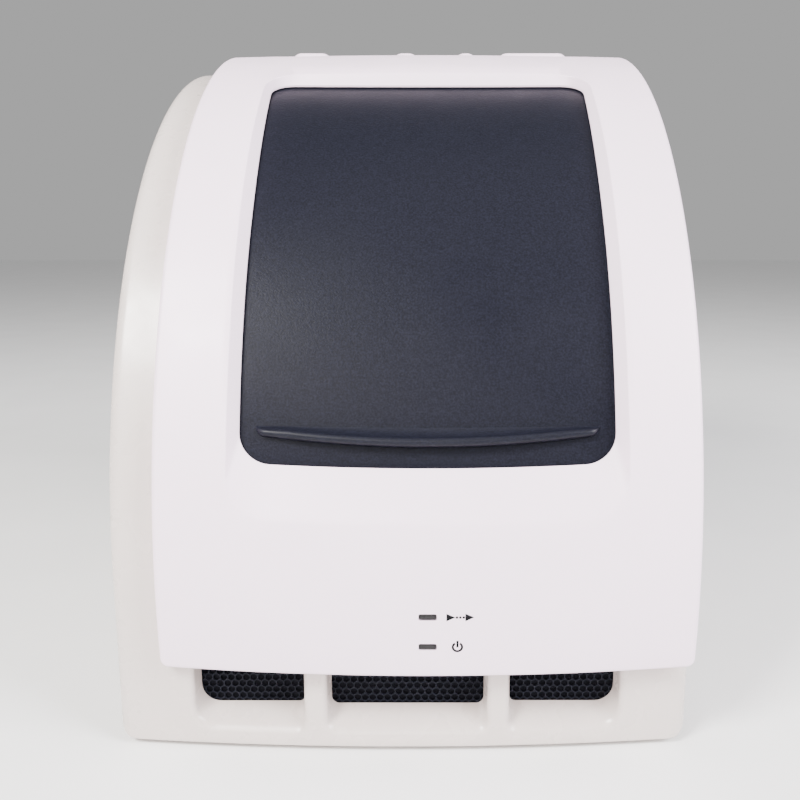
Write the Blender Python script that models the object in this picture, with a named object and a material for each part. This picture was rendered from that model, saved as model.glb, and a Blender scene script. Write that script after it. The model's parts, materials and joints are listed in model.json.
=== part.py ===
"""Benchtop real-time thermal cycler: a moulded housing with a front shield, a curved sliding door,
a heated lid over a 96-well block, a scanner in the lid and the optics, power and cooling behind.

Frame: +Z up, -Y is the front, origin on the bench under the middle of the machine.
Sizes are in millimetres here; solid() turns them into metres when a mesh is made.
"""

from math import cos, pi, radians, sin, sqrt

import bmesh
import bpy
from mathutils import Vector

MM = 0.001
GAP = 0.3  # clearance between pieces that touch

# Side profile: concentric arcs about one axis that runs across the machine.
AXIS_Y = 116.5
AXIS_Z = 99.0
HOUSING_RADIUS = 321.5
SHIELD_RADIUS = 335.0
HOUSING_CROWN = 12.2  # how far the middle of the front stands ahead of its sides
SHIELD_CROWN = 11.5
HALF_WIDTH = 166.0
CORNER_RADIUS = 7.0
SHELL_BOTTOM = 3.0
HOUSING_REAR = 222.5
WALL = 3.0
FOOT_CHAMFER = 1.5

# Front shield, its recess and its door opening. Distances up the profile are arc lengths from the axis level.
SHIELD_LEFT = -137.0
SHIELD_RIGHT = 166.0
SHIELD_MID = (SHIELD_LEFT + SHIELD_RIGHT) / 2
SHIELD_HALF = (SHIELD_RIGHT - SHIELD_LEFT) / 2
SHIELD_REAR = 224.5
SHIELD_BOTTOM_ARC = -46.5
SHIELD_WALL = 2.5
SHIELD_EDGE = 3.0
SKIRT_CLEARANCE = 0.9
EDGE_SEAM = 1.2  # the shield's flush side stops this far round the housing's corner
OPENING_HALF = 103.9
OPENING_LOW = 74.6
OPENING_HIGH = 371.0
OPENING_CORNERS = (17.0, 11.0)  # lower and upper
OPENING_SAG = 2.0  # the lower edge hangs this much in the middle
RECESS_HALF = 109.8
RECESS_LOW = 42.0
RECESS_HIGH = 380.0
RECESS_CORNERS = (24.0, 18.0)
RIM_WALL = 1.2

# Indicator lamps (name, height) and the low bosses on the top (middle, half width)
LAMPS = (("run_light_lens", 90.3), ("power_light_lens", 72.6))
LENS_HALF = 4.7
LENS_TALL = 3.2
BOSSES = (
    # x of the middle, half width, height
    (-80.5, 16.5, 4.4),
    (-3.5, 10.7, 2.6),
    (46.0, 9.2, 2.6),
    (101.0, 29.0, 2.6),
)
BOSS_SLOPE = 6.0

# Sliding door, a patch of a barrel about the same axis, so that it turns within itself.
DOOR_RADIUS = 331.2
DOOR_CROWN = 1.4
DOOR_WALL = 3.0
DOOR_HALF = 108.0
DOOR_LOW = 11.7
DOOR_HIGH = 65.5
HANDLE_HALF = 95.0
HANDLE_REACH = (3.5, 8.0)  # at its ends and its middle
HANDLE_DROP = (6.4, 13.0)
HANDLE_TOP = 16.2  # degrees up the arc
GUIDE_RADIUS = 2.1
GUIDE_CIRCLE = 327.0  # radius of the arc that the door's guide pins follow
TRACK_IN = 109.2
TRACK_OUT = 114.0
TRACK_LOW_RADIUS = 322.0
TRACK_HIGH_RADIUS = 331.0
TRACK_SLOT = 2.5  # half of the groove's width
TRACK_START = 9.5
TRACK_END = 106.5

# Vents in the plinth: (name, middle, half width at the grille)
VENTS = (("left", -88.3, 30.4), ("middle", 2.8, 44.6), ("right", 93.5, 30.6))
VENT_DEPTH = 18.0
VENT_FLARE = 5.0
VENT_BACK_LOW = 21.0
VENT_FRONT_LOW = 16.0
VENT_TOP = 62.0
VENT_CORNER = 7.0
GRILLE_THICK = 1.5
MESH_ACROSS = 11.5
MESH_UP = 13.0
MESH_HOLE = 5.2

# Heated lid and the block under it
BLOCK_Y = -110.0
DECK_FLOOR = 162.5
DECK_REAR = -13.5
DECK_WALL = 3.0
DECK_HALF = 107.0
DECK_RADIUS = 321.0  # the deck stops short of the sliding door
BLOCK_TOP = 176.0
WELL_PITCH = 9.0
LID_HINGE = (SHIELD_MID, -35.0, 205.0)
LID_FRONT = -158.0
LID_REAR = -41.0
LID_HALF = 78.0
LID_TOP = 228.0
LID_LOW = 190.0
LID_WALL = 2.5
PIN_RADIUS = 3.0
HANDLE_PIVOT = (SHIELD_MID, -162.0, 218.0)
SCAN_Z = 208.0
SCREW_Y = -64.0
HEAD_HALF = 4.5

# Cooling and optics
PANEL_MARGIN = 1.5  # from the housing's outline to the rear panel's
PANEL_CORNER = 7.0
REAR_FAN = (-40.0, 250.0)  # x and z of its middle
SINK_FAN = (SHIELD_MID, -105.0)  # x and y of its middle
BENCH_TOP = 231.0
WHEEL_Y = 60.0
WHEEL_Z = 275.0
WHEEL_RADIUS = 34.0
FILTER_COUNT = 5
FILTER_CIRCLE = 22.0
FILTER_RADIUS = 8.0
CHIPS = (  # y, z, width, height and thickness of the parts on the main board
    (-80, 70, 40, 30, 4),
    (-20, 90, 36, 36, 6),
    (60, 80, 60, 22, 12),
    (-60, 160, 24, 60, 8),
    (40, 170, 50, 50, 5),
)
INLET_X = -110.0
INLET_Z = 42.0
DATA_PORT = (-50.0, 42.0)  # x and z of its middle
FEET = (130.0, -150.0, 180.0)  # x of the sides, y of the front and the rear


def clear_scene():
    for item in list(bpy.data.objects):
        bpy.data.objects.remove(item, do_unlink=True)


def finish(name, colour, roughness, metallic=0.0):
    """A material with one colour, shared by the pieces that are made of it."""
    found = bpy.data.materials.get(name)
    if found:
        return found
    made = bpy.data.materials.new(name)
    made.use_nodes = True
    made.diffuse_color = (*colour, 1.0)
    shader = made.node_tree.nodes["Principled BSDF"]
    shader.inputs["Base Color"].default_value = (*colour, 1.0)
    shader.inputs["Roughness"].default_value = roughness
    shader.inputs["Metallic"].default_value = metallic
    return made


def white_plastic():
    return finish("white_plastic", (0.84, 0.83, 0.84), 0.45)


def dark_plastic():
    return finish("dark_plastic", (0.05, 0.06, 0.08), 0.5)


def black_plastic():
    return finish("black_plastic", (0.02, 0.02, 0.022), 0.55)


def sheet_metal():
    return finish("sheet_metal", (0.62, 0.63, 0.65), 0.35, 1.0)


def aluminium():
    return finish("aluminium", (0.78, 0.79, 0.8), 0.3, 1.0)


def rubber():
    return finish("rubber", (0.03, 0.03, 0.03), 0.8)


def board_green():
    return finish("board_green", (0.03, 0.2, 0.09), 0.5)


def ceramic():
    return finish("ceramic", (0.9, 0.9, 0.87), 0.5)


# Making solids


def solid(name, mesh_builder, material):
    """Links an object whose mesh was built in millimetres."""
    mesh = bpy.data.meshes.new(name)
    mesh_builder.to_mesh(mesh)
    mesh_builder.free()
    for vertex in mesh.vertices:
        vertex.co *= MM
    item = bpy.data.objects.new(name, mesh)
    bpy.context.scene.collection.objects.link(item)
    mesh.materials.append(material)
    return item


def signed_volume(faces):
    """Six times the volume inside closed faces, negative where they point inwards."""
    total = 0.0
    for face in faces:
        first, *others = [vertex.co for vertex in face.verts]
        total += sum(first.dot(second.cross(third)) for second, third in zip(others, others[1:]))
    return total


def add_loft(builder, rings, closed=False):
    """Skins a row of loops that have the same number of points; closed joins the last loop to the first."""
    rows = [[builder.verts.new(point) for point in ring] for ring in rings]
    pairs = list(zip(rows, rows[1:]))
    faces = []
    if closed:
        pairs.append((rows[-1], rows[0]))
    else:
        faces.append(builder.faces.new(list(reversed(rows[0]))))
        faces.append(builder.faces.new(rows[-1]))
    for low, high in pairs:
        count = len(low)
        for index in range(count):
            after = (index + 1) % count
            faces.append(builder.faces.new((low[index], low[after], high[after], high[index])))
    if signed_volume(faces) < 0:
        bmesh.ops.reverse_faces(builder, faces=faces)


def loft(name, rings, material, closed=False):
    builder = bmesh.new()
    add_loft(builder, rings, closed)
    return solid(name, builder, material)


def add_box(builder, low, high):
    (x0, y0, z0), (x1, y1, z1) = low, high
    add_loft(
        builder,
        [[(x0, y0, z), (x1, y0, z), (x1, y1, z), (x0, y1, z)] for z in (z0, z1)],
    )


def add_rod(builder, start, end, radius, end_radius=None, sides=16):
    """A round bar or cone between two points."""
    start = Vector(start)
    axis = Vector(end) - start
    across = axis.orthogonal().normalized()
    along = axis.normalized().cross(across)
    rings = []
    angles = [2 * pi * step / sides for step in range(sides)]
    for place, size in ((start, radius), (start + axis, radius if end_radius is None else end_radius)):
        rings.append([place + across * size * cos(a) + along * size * sin(a) for a in angles])
    add_loft(builder, rings)


def box(name, low, high, material, bevel=0.0):
    builder = bmesh.new()
    add_box(builder, low, high)
    item = solid(name, builder, material)
    if bevel:
        modifier = item.modifiers.new("bevel", "BEVEL")
        modifier.width = bevel * MM
        modifier.segments = 2
    return item


def rod(name, start, end, radius, material, end_radius=None, sides=24):
    builder = bmesh.new()
    add_rod(builder, start, end, radius, end_radius, sides)
    return smooth(solid(name, builder, material))


def tool(shapes):
    """One cutter or filler from a list of (function, arguments) that add separate closed shapes."""
    builder = bmesh.new()
    for add, arguments in shapes:
        add(builder, *arguments)
    return solid("tool", builder, black_plastic())


def smooth(item):
    item.data.shade_smooth()
    item.data.set_sharp_from_angle(angle=radians(35))
    return item


def apply_modifiers(item):
    graph = bpy.context.evaluated_depsgraph_get()
    mesh = bpy.data.meshes.new_from_object(item.evaluated_get(graph))
    item.modifiers.clear()
    item.data = mesh


def combine(item, other, operation):
    """Applies a Boolean and removes the other object."""
    modifier = item.modifiers.new("combine", "BOOLEAN")
    modifier.operation = operation
    modifier.object = other
    apply_modifiers(item)
    bpy.data.objects.remove(other, do_unlink=True)
    return item


def cut(item, shapes):
    return combine(item, tool(shapes), "DIFFERENCE")


def fuse(item, shapes):
    return combine(item, tool(shapes), "UNION")


def hang(pivot_name, pivot, items, parent=None):
    """Puts moving pieces on an empty that stands on their joint's axis."""
    empty = bpy.data.objects.new(pivot_name, None)
    bpy.context.scene.collection.objects.link(empty)
    place = Vector(pivot) * MM
    empty.parent = parent
    empty.location = place - Vector(parent["place"]) if parent else place
    empty["place"] = place
    for item in items:
        for vertex in item.data.vertices:
            vertex.co -= place
        item.parent = empty
    return empty


# The machine's surfaces


def crown(x, middle, half, height):
    return height * max(0.0, 1 - ((x - middle) / half) ** 2)


def corner_inset(x):
    """How far the housing's rounded side edges draw in."""
    past = min(abs(x), HALF_WIDTH - EDGE_SEAM) - (HALF_WIDTH - CORNER_RADIUS)
    return CORNER_RADIUS - sqrt(CORNER_RADIUS**2 - max(0.0, past) ** 2)


def shield_point(x, arc, depth=0.0):
    """A point of the shield's outer face, or one that lies depth under it."""
    quarter = SHIELD_RADIUS * pi / 2
    ahead = crown(x, SHIELD_MID, SHIELD_HALF, SHIELD_CROWN)
    if arc <= quarter:
        angle = arc / SHIELD_RADIUS
        radius = SHIELD_RADIUS - depth
        return Vector((x, AXIS_Y - radius * cos(angle) - ahead, AXIS_Z + radius * sin(angle)))
    past = arc - quarter
    fade = 1 - past / (SHIELD_REAR - AXIS_Y)
    return Vector((x, AXIS_Y + past - ahead * fade, AXIS_Z + SHIELD_RADIUS - depth))


def height_over_housing(point):
    """Distance of a point over the housing's front and top faces."""
    ahead = crown(point.x, 0.0, HALF_WIDTH, HOUSING_CROWN)
    back = AXIS_Y - point.y - ahead
    up = point.z - AXIS_Z
    radius = HOUSING_RADIUS - corner_inset(point.x)
    if up <= 0:
        return back - radius
    if back <= 0:
        return up - radius
    return sqrt(back**2 + up**2) - radius


def skirt_depth(x, arc):
    """How deep the shield's edge reaches before it meets the housing."""
    low, high = 0.0, 40.0
    for _ in range(30):
        middle = (low + high) / 2
        if height_over_housing(shield_point(x, arc, middle)) > SKIRT_CLEARANCE:
            low = middle
        else:
            high = middle
    return low


def shield_rear_arc():
    return SHIELD_RADIUS * pi / 2 + SHIELD_REAR - AXIS_Y


def rounded_outline(half, low, high, radii, sag=0.0, across=10, along=16, bend=4):
    """A rounded rectangle about the shield's middle as (x, arc) points, from its lower left corner round.

    radii are those of the lower and the upper corners, and sag lowers the middle of the lower edge.
    """
    low_radius, high_radius = radii
    corners = (
        (-half + low_radius, low + low_radius, low_radius, pi, across),
        (half - low_radius, low + low_radius, low_radius, 1.5 * pi, along),
        (half - high_radius, high - high_radius, high_radius, 0.0, across),
        (-half + high_radius, high - high_radius, high_radius, 0.5 * pi, along),
    )
    points = []
    for index, (x, y, radius, start, count) in enumerate(corners):
        for step in range(bend + 1):
            angle = start + 0.5 * pi * step / bend
            points.append((x + radius * cos(angle), y + radius * sin(angle)))
        next_x, next_y, next_radius, next_start, _ = corners[(index + 1) % 4]
        first = points[-1]
        last = (next_x + next_radius * cos(next_start), next_y + next_radius * sin(next_start))
        points += [between([first], [last], step / count)[0] for step in range(1, count)]
    middle = (low + high) / 2
    placed = []
    for x, y in points:
        share = max(0.0, (middle - y) / (middle - low)) * (1 - (x / half) ** 2)
        placed.append((SHIELD_MID + x, y - sag * share))
    return placed


def between(first, second, share):
    return [
        (a[0] + (b[0] - a[0]) * share, a[1] + (b[1] - a[1]) * share) for a, b in zip(first, second)
    ]


def door_radius(x):
    return DOOR_RADIUS - DOOR_CROWN * ((x - SHIELD_MID) / OPENING_HALF) ** 2


def rim_depth(x, arc):
    """Depth from the shield's face to a rim that clears the door by a millimetre."""
    low, high = 0.0, 30.0
    for _ in range(30):
        middle = (low + high) / 2
        point = shield_point(x, arc, middle)
        if sqrt((point.y - AXIS_Y) ** 2 + (point.z - AXIS_Z) ** 2) > door_radius(x) + 1.0 + RIM_WALL:
            low = middle
        else:
            high = middle
    return low


def front_shield():
    edge = SHIELD_EDGE
    rear = shield_rear_arc()
    bottom = SHIELD_BOTTOM_ARC
    opening = rounded_outline(OPENING_HALF, OPENING_LOW, OPENING_HIGH, OPENING_CORNERS, OPENING_SAG)
    recess = rounded_outline(RECESS_HALF, RECESS_LOW, RECESS_HIGH, RECESS_CORNERS)
    shoulder = rounded_outline(SHIELD_HALF - edge, bottom + edge, rear - edge, (2.0, 2.0))
    side = rounded_outline(SHIELD_HALF, bottom, rear, (2.0 + edge, 2.0 + edge))
    inner = SHIELD_HALF - SHIELD_WALL
    inside = rounded_outline(inner, bottom + SHIELD_WALL, rear - SHIELD_WALL, (edge, edge))

    def ring(outline, depth):
        return [shield_point(x, arc, depth(x, arc) if callable(depth) else depth) for x, arc in outline]

    spread = [step / 5 for step in range(1, 5)]
    rings = [ring(opening, rim_depth), ring(recess, 0.0)]
    rings += [ring(between(recess, shoulder, share), 0.0) for share in spread]
    for turn in range(3):
        angle = 0.5 * pi * turn / 2
        rings.append(ring(between(shoulder, side, sin(angle)), edge * (1 - cos(angle))))
    rings.append(ring(side, skirt_depth))
    rings.append(ring(inside, skirt_depth))
    rings.append(ring(inside, SHIELD_WALL + 2.0))
    rings += [ring(between(recess, inside, 1 - share), SHIELD_WALL) for share in spread]
    rings.append(ring(recess, SHIELD_WALL))
    rings.append(ring(opening, lambda x, arc: rim_depth(x, arc) + RIM_WALL))
    item = loft("front_shield", rings, white_plastic(), closed=True)
    lamp_holes = []
    for _, z in LAMPS:
        low = (SHIELD_MID - LENS_HALF - GAP, -240, z - LENS_TALL / 2 - GAP)
        lamp_holes.append((add_box, (low, (SHIELD_MID + LENS_HALF + GAP, -215, z + LENS_TALL / 2 + GAP))))
    cut(item, lamp_holes)
    top = AXIS_Z + SHIELD_RADIUS
    fuse(item, [(add_boss, (middle, half, top, tall)) for middle, half, tall in BOSSES])
    return smooth(item)


def add_boss(builder, middle, half, top, tall):
    """A low raised pad on the top of the shield, with sloping sides."""
    rings = []
    levels = ((0.0, top - 1.2), (0.0, top + 0.2), (BOSS_SLOPE * 0.6, top + tall * 0.8), (BOSS_SLOPE, top + tall))
    for inset, z in levels:
        x0, x1 = middle - half + inset, middle + half - inset
        y0, y1 = 88.0 + inset, 112.0 - inset
        rings.append([(x0, y0, z), (x1, y0, z), (x1, y1, z), (x0, y1, z)])
    add_loft(builder, rings)


def housing_ring(x, inset, rear):
    """The housing's side outline at one place across its width, drawn in by inset."""
    ahead = crown(x, 0.0, HALF_WIDTH, HOUSING_CROWN)
    radius = HOUSING_RADIUS - inset
    front = AXIS_Y - radius - ahead
    ring = [(x, rear, SHELL_BOTTOM + inset), (x, front + FOOT_CHAMFER, SHELL_BOTTOM + inset)]
    ring.append((x, front, SHELL_BOTTOM + inset + FOOT_CHAMFER))
    for step in range(25):
        angle = 0.5 * pi * step / 24
        ring.append((x, AXIS_Y - radius * cos(angle) - ahead, AXIS_Z + radius * sin(angle)))
    ring.append((x, rear, AXIS_Z + radius))
    return ring


def housing_stations(half, corner):
    """Places across the width, closer together round the side edges, each with its inset."""
    angles = [radians(degrees) for degrees in (90, 60, 30)]
    bends = [(half - corner * (1 - sin(a)), corner * (1 - cos(a))) for a in angles]
    flat = half - corner
    middle = [(flat * (1 - step / 3), 0.0) for step in range(7)]
    right = bends + middle[:6]
    left = [(-x, inset) for x, inset in reversed(bends + middle[:1])]
    return right + left


def vent_front(middle):
    return AXIS_Y - HOUSING_RADIUS - crown(middle, 0.0, HALF_WIDTH, HOUSING_CROWN)


def add_scoop(builder, middle, half, grow):
    """The hollow of a vent, or with grow the lining round it: narrow at the grille, flared at the front."""
    front = vent_front(middle)
    rings = []
    stations = (
        (front - 8.0 + (5.0 if grow else 0.0), half + VENT_FLARE, VENT_FRONT_LOW - 2.0),
        (front + 3.0, half + VENT_FLARE * 0.55, VENT_FRONT_LOW + 0.5),
        (front + VENT_DEPTH + grow, half, VENT_BACK_LOW),
    )
    for y, wide, low in stations:
        rings.append(vent_outline(middle, wide + grow, low - grow, VENT_TOP + grow, y))
    add_loft(builder, rings)


def vent_outline(middle, wide, low, top, y):
    """An upright outline with straight top corners and cut lower corners."""
    soft = VENT_CORNER
    side = ((wide, top), (wide, low + soft), (wide - soft / 3, low + soft / 3), (wide - soft, low))
    right = [(middle + x, y, z) for x, z in side]
    left = [(middle - x, y, z) for x, z in reversed(side)]
    return right + left


def main_housing():
    stations = housing_stations(HALF_WIDTH, CORNER_RADIUS)
    outer = [housing_ring(x, inset, HOUSING_REAR) for x, inset in stations]
    item = loft("main_housing", outer, white_plastic())
    stations = housing_stations(HALF_WIDTH - WALL, CORNER_RADIUS - WALL)
    inner = [housing_ring(x, inset + WALL, HOUSING_REAR + 9) for x, inset in stations]
    hollow = loft("hollow", inner, white_plastic())
    cut(hollow, [(add_scoop, (middle, half, WALL)) for _, middle, half in VENTS])
    combine(item, hollow, "DIFFERENCE")
    bay = ((SHIELD_MID - 119, -260, 150), (SHIELD_MID + 119, 214, 460))
    floor = ((-150, -186, -10), (150, 240, SHELL_BOTTOM + WALL + 3))
    scoops = [(add_scoop, (middle, half, 0.0)) for _, middle, half in VENTS]
    cut(item, [(add_box, bay), (add_box, floor)])
    cut(item, scoops)
    windows = []
    for _, middle, half in VENTS:
        back = vent_front(middle) + VENT_DEPTH
        low = (middle - half + 3, back - 4, VENT_BACK_LOW + 4)
        windows.append((add_box, (low, (middle + half - 3, back + WALL + 4, VENT_TOP - 3))))
    cut(item, windows)
    return smooth(item)


def vent_grilles():
    """Flat plates with a coarse hexagon mesh, one at the back of each vent."""
    for name, middle, half in VENTS:
        back = vent_front(middle) + VENT_DEPTH
        faces = (back - GRILLE_THICK - GAP, back - GAP)
        rings = [vent_outline(middle, half - 0.6, VENT_BACK_LOW + 0.8, VENT_TOP - 0.6, y) for y in faces]
        item = loft("vent_grille_" + name, rings, black_plastic())
        holes = []
        columns = int((2 * half - 8) / MESH_ACROSS)
        for column in range(columns):
            x = middle + (column - (columns - 1) / 2) * MESH_ACROSS
            odd = column % 2
            for row in range(3 - odd):
                z = VENT_BACK_LOW + 8.5 + MESH_UP * (row + odd / 2)
                holes.append((add_rod, ((x, back - 5, z), (x, back + 3, z), MESH_HOLE, None, 6)))
        cut(item, holes)


def indicator_lenses():
    for name, z in LAMPS:
        face = shield_point(SHIELD_MID, z - AXIS_Z).y
        low = (SHIELD_MID - LENS_HALF, face + 0.25, z - LENS_TALL / 2)
        box(name, low, (SHIELD_MID + LENS_HALF, face + 6, z + LENS_TALL / 2), dark_plastic(), 0.4)


# The door and its tracks


def on_arc(x, radius, degrees):
    angle = radians(degrees)
    return (x, AXIS_Y - radius * cos(angle), AXIS_Z + radius * sin(angle))


def sliding_door():
    columns = [SHIELD_MID + DOOR_HALF * (step / 5 - 1) for step in range(11)]
    rings = []
    for step in range(25):
        degrees = DOOR_LOW + (DOOR_HIGH - DOOR_LOW) * step / 24
        face = [on_arc(x, door_radius(x), degrees) for x in columns]
        back = [on_arc(x, door_radius(x) - DOOR_WALL, degrees) for x in reversed(columns)]
        rings.append(face + back)
    panel = smooth(loft("door_panel", rings, dark_plastic()))
    rings = []
    for step in range(21):
        across = -1 + 2 * step / 20
        x = SHIELD_MID + HANDLE_HALF * across
        share = max(0.0, 1 - across**2)
        reach = part_way(HANDLE_REACH, share**0.5)
        drop = degrees_for(part_way(HANDLE_DROP, share))
        base = door_radius(x) + GAP
        places = ((0, 0), (0.75, 0.0), (1.0, 0.1), (0.85, 0.45), (0.0, 1.0))
        rings.append([on_arc(x, base + reach * out, HANDLE_TOP - drop * down) for out, down in places])
    handle = smooth(loft("door_handle", rings, dark_plastic()))
    pieces = [panel, handle]
    for side_name, side in (("left", -1), ("right", 1)):
        for level, degrees in (("lower", DOOR_LOW + 4), ("upper", DOOR_HIGH - 4)):
            start = on_arc(SHIELD_MID + side * (DOOR_HALF + GAP), GUIDE_CIRCLE, degrees)
            end = on_arc(SHIELD_MID + side * (TRACK_IN + 3.2), GUIDE_CIRCLE, degrees)
            name = f"door_guide_{level}_{side_name}"
            pieces.append(rod(name, start, end, GUIDE_RADIUS, ceramic(), sides=12))
    return hang("door_axis", (SHIELD_MID, AXIS_Y, AXIS_Z), pieces)


def part_way(ends, share):
    return ends[0] + (ends[1] - ends[0]) * share


def degrees_for(length):
    return length / DOOR_RADIUS * 180 / pi


def door_tracks():
    for name, side in (("left", -1), ("right", 1)):
        near, far = SHIELD_MID + side * TRACK_IN, SHIELD_MID + side * TRACK_OUT
        web = far - side * 1.2
        section = (
            (near, TRACK_LOW_RADIUS),
            (far, TRACK_LOW_RADIUS),
            (far, TRACK_HIGH_RADIUS),
            (near, TRACK_HIGH_RADIUS),
            (near, GUIDE_CIRCLE + TRACK_SLOT),
            (web, GUIDE_CIRCLE + TRACK_SLOT),
            (web, GUIDE_CIRCLE - TRACK_SLOT),
            (near, GUIDE_CIRCLE - TRACK_SLOT),
        )
        rings = []
        for step in range(33):
            degrees = TRACK_START + (TRACK_END - TRACK_START) * step / 32
            rings.append([on_arc(x, radius, degrees) for x, radius in section])
        smooth(loft("door_track_" + name, rings, ceramic()))


def side_frames():
    """Sheet plates from the base pan up to the tracks, with a window to save weight."""
    for name, side in (("left", -1), ("right", 1)):
        rings = []
        for x in (SHIELD_MID + side * (TRACK_OUT + GAP), SHIELD_MID + side * (TRACK_OUT + 2.3)):
            outline = [(x, 197.0, 8.0), (x, -178.0, 8.0), (x, -186.0, 60.0), (x, -186.0, 152.5)]
            for step in range(19):
                degrees = TRACK_START + (TRACK_END - TRACK_START) * step / 18
                outline.append(on_arc(x, 330.0, degrees))
            rings.append(outline)
        item = loft("side_frame_" + name, rings, sheet_metal())
        x = SHIELD_MID + side * TRACK_OUT
        window = ((x - 5, 0.0, 120.0), (x + 5, 150.0, 210.0))
        cut(item, [(add_box, window)])


# The bay


def work_deck():
    """The moulded floor, side walls and rear wall seen through the open door."""
    low = (SHIELD_MID - DECK_HALF, -240, DECK_FLOOR - 2.5)
    high = (SHIELD_MID + DECK_HALF, DECK_REAR + DECK_WALL, 420)
    item = box("work_deck", low, high, white_plastic())
    circles = [[on_arc(x, DECK_RADIUS, 360 * step / 96) for step in range(96)] for x in (-200, 200)]
    combine(item, loft("limit", circles, white_plastic()), "INTERSECT")
    inside = DECK_HALF - 2.5
    inner = ((SHIELD_MID - inside, -260, DECK_FLOOR), (SHIELD_MID + inside, DECK_REAR, 460))
    block = ((SHIELD_MID - 60, BLOCK_Y - 42, 150), (SHIELD_MID + 60, BLOCK_Y + 42, 170))
    slot_y = (DECK_REAR - 5, DECK_REAR + DECK_WALL + 5)
    fibre_slot = ((SHIELD_MID + 88, slot_y[0], 232), (SHIELD_MID + 100, slot_y[1], 244))
    for hollow in (inner, block, fibre_slot):
        cut(item, [(add_box, hollow)])
    return smooth(item)


def thermal_stack():
    low = (SHIELD_MID - 58, BLOCK_Y - 40, 158.3)
    item = box("thermal_block", low, (SHIELD_MID + 58, BLOCK_Y + 40, BLOCK_TOP), aluminium())
    wells = []
    for column in range(12):
        for row in range(8):
            x = SHIELD_MID + (column - 5.5) * WELL_PITCH
            y = BLOCK_Y + (row - 3.5) * WELL_PITCH
            wells.append((add_rod, ((x, y, BLOCK_TOP - 13), (x, y, BLOCK_TOP + 0.6), 1.6, 3.1, 6)))
    cut(item, wells)
    for name, side in (("left", -1), ("right", 1)):
        low_x, high_x = sorted((SHIELD_MID + side * 2, SHIELD_MID + side * 56))
        box("peltier_" + name, (low_x, BLOCK_Y - 38, 154.3), (high_x, BLOCK_Y + 38, 158.0), ceramic())
    heat_sink()


def heat_sink():
    low = (SHIELD_MID - 66, BLOCK_Y - 48, 144)
    item = box("heat_sink", low, (SHIELD_MID + 66, BLOCK_Y + 48, 154), aluminium())
    fins = []
    for index in range(14):
        x = SHIELD_MID + (index - 6.5) * 9.6
        fins.append((add_box, ((x - 1.2, BLOCK_Y - 47, 102), (x + 1.2, BLOCK_Y + 47, 146))))
    fuse(item, fins)


def fan(prefix, middle, axis, half, depth, blade_count):
    """A square fan frame and its rotor about an axis, 1 for Y or 2 for Z; returns the rotor."""

    def place(u, v, w):
        if axis == 1:
            return (middle[0] + u, middle[1] + w, middle[2] + v)
        return (middle[0] + u, middle[1] + v, middle[2] + w)

    corners = [sorted(pair) for pair in zip(place(-half, -half, 0), place(half, half, depth))]
    item = box(prefix + "_frame", [c[0] for c in corners], [c[1] for c in corners], black_plastic())
    cut(item, [(add_rod, (place(0, 0, -2), place(0, 0, depth - 2.5), half - 2.5, None, 32))])
    spokes = []
    ring = half - 2.5
    for index in range(4):
        start, end = 0.5 * pi * index + 0.25 * pi - 0.34, 0.5 * pi * index + 0.25 * pi + 0.34
        outline = [(13 * cos(start), 13 * sin(start)), (13 * cos(end), 13 * sin(end))]
        wide = 0.62
        for step in range(5):
            angle = 0.5 * pi * index + 0.25 * pi + wide - 2 * wide * step / 4
            outline.append(((ring - 0.3) * cos(angle), (ring - 0.3) * sin(angle)))
        spokes.append((add_loft, ([[place(u, v, w) for u, v in outline] for w in (depth - 6, depth + 3)],)))
    cut(item, spokes)
    smooth(item)
    rotor = rod(prefix + "_rotor", place(0, 0, 2), place(0, 0, depth - 3.2), 12.0, black_plastic(), sides=24)
    blades = []
    root = 10.5
    for index in range(blade_count):
        turn = 2 * pi * index / blade_count
        rings = []
        for step in range(6):
            radius = root + (half - 4.5 - root) * step / 5
            pitch = radians(38) - radians(12) * (radius - root) / half
            reach = (depth - 9.5) / 2 / sin(pitch)
            ring_points = []
            for along, thick in ((-1, -0.7), (1, -0.7), (1, 0.7), (-1, 0.7)):
                side = along * reach * cos(pitch) - thick * sin(pitch)
                w = along * reach * sin(pitch) + thick * cos(pitch) + (depth - 1.2) / 2
                angle = turn + side / max(radius, 15.0)
                ring_points.append(place(radius * cos(angle), radius * sin(angle), w))
            rings.append(ring_points)
        blades.append((add_loft, (rings,)))
    fuse(rotor, blades)
    return smooth(rotor)


def cooling():
    x, z = REAR_FAN
    rotor = fan("rear_fan", (x, 197.2, z), 1, 46.0, 25.0, 7)
    hang("rear_fan_axis", (x, 197.2, z), [rotor])
    x, y = SINK_FAN
    rotor = fan("sink_fan", (x, y, 78.0), 2, 40.0, 20.0, 7)
    hang("sink_fan_axis", (x, y, 78.0), [rotor])


# The heated lid


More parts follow.
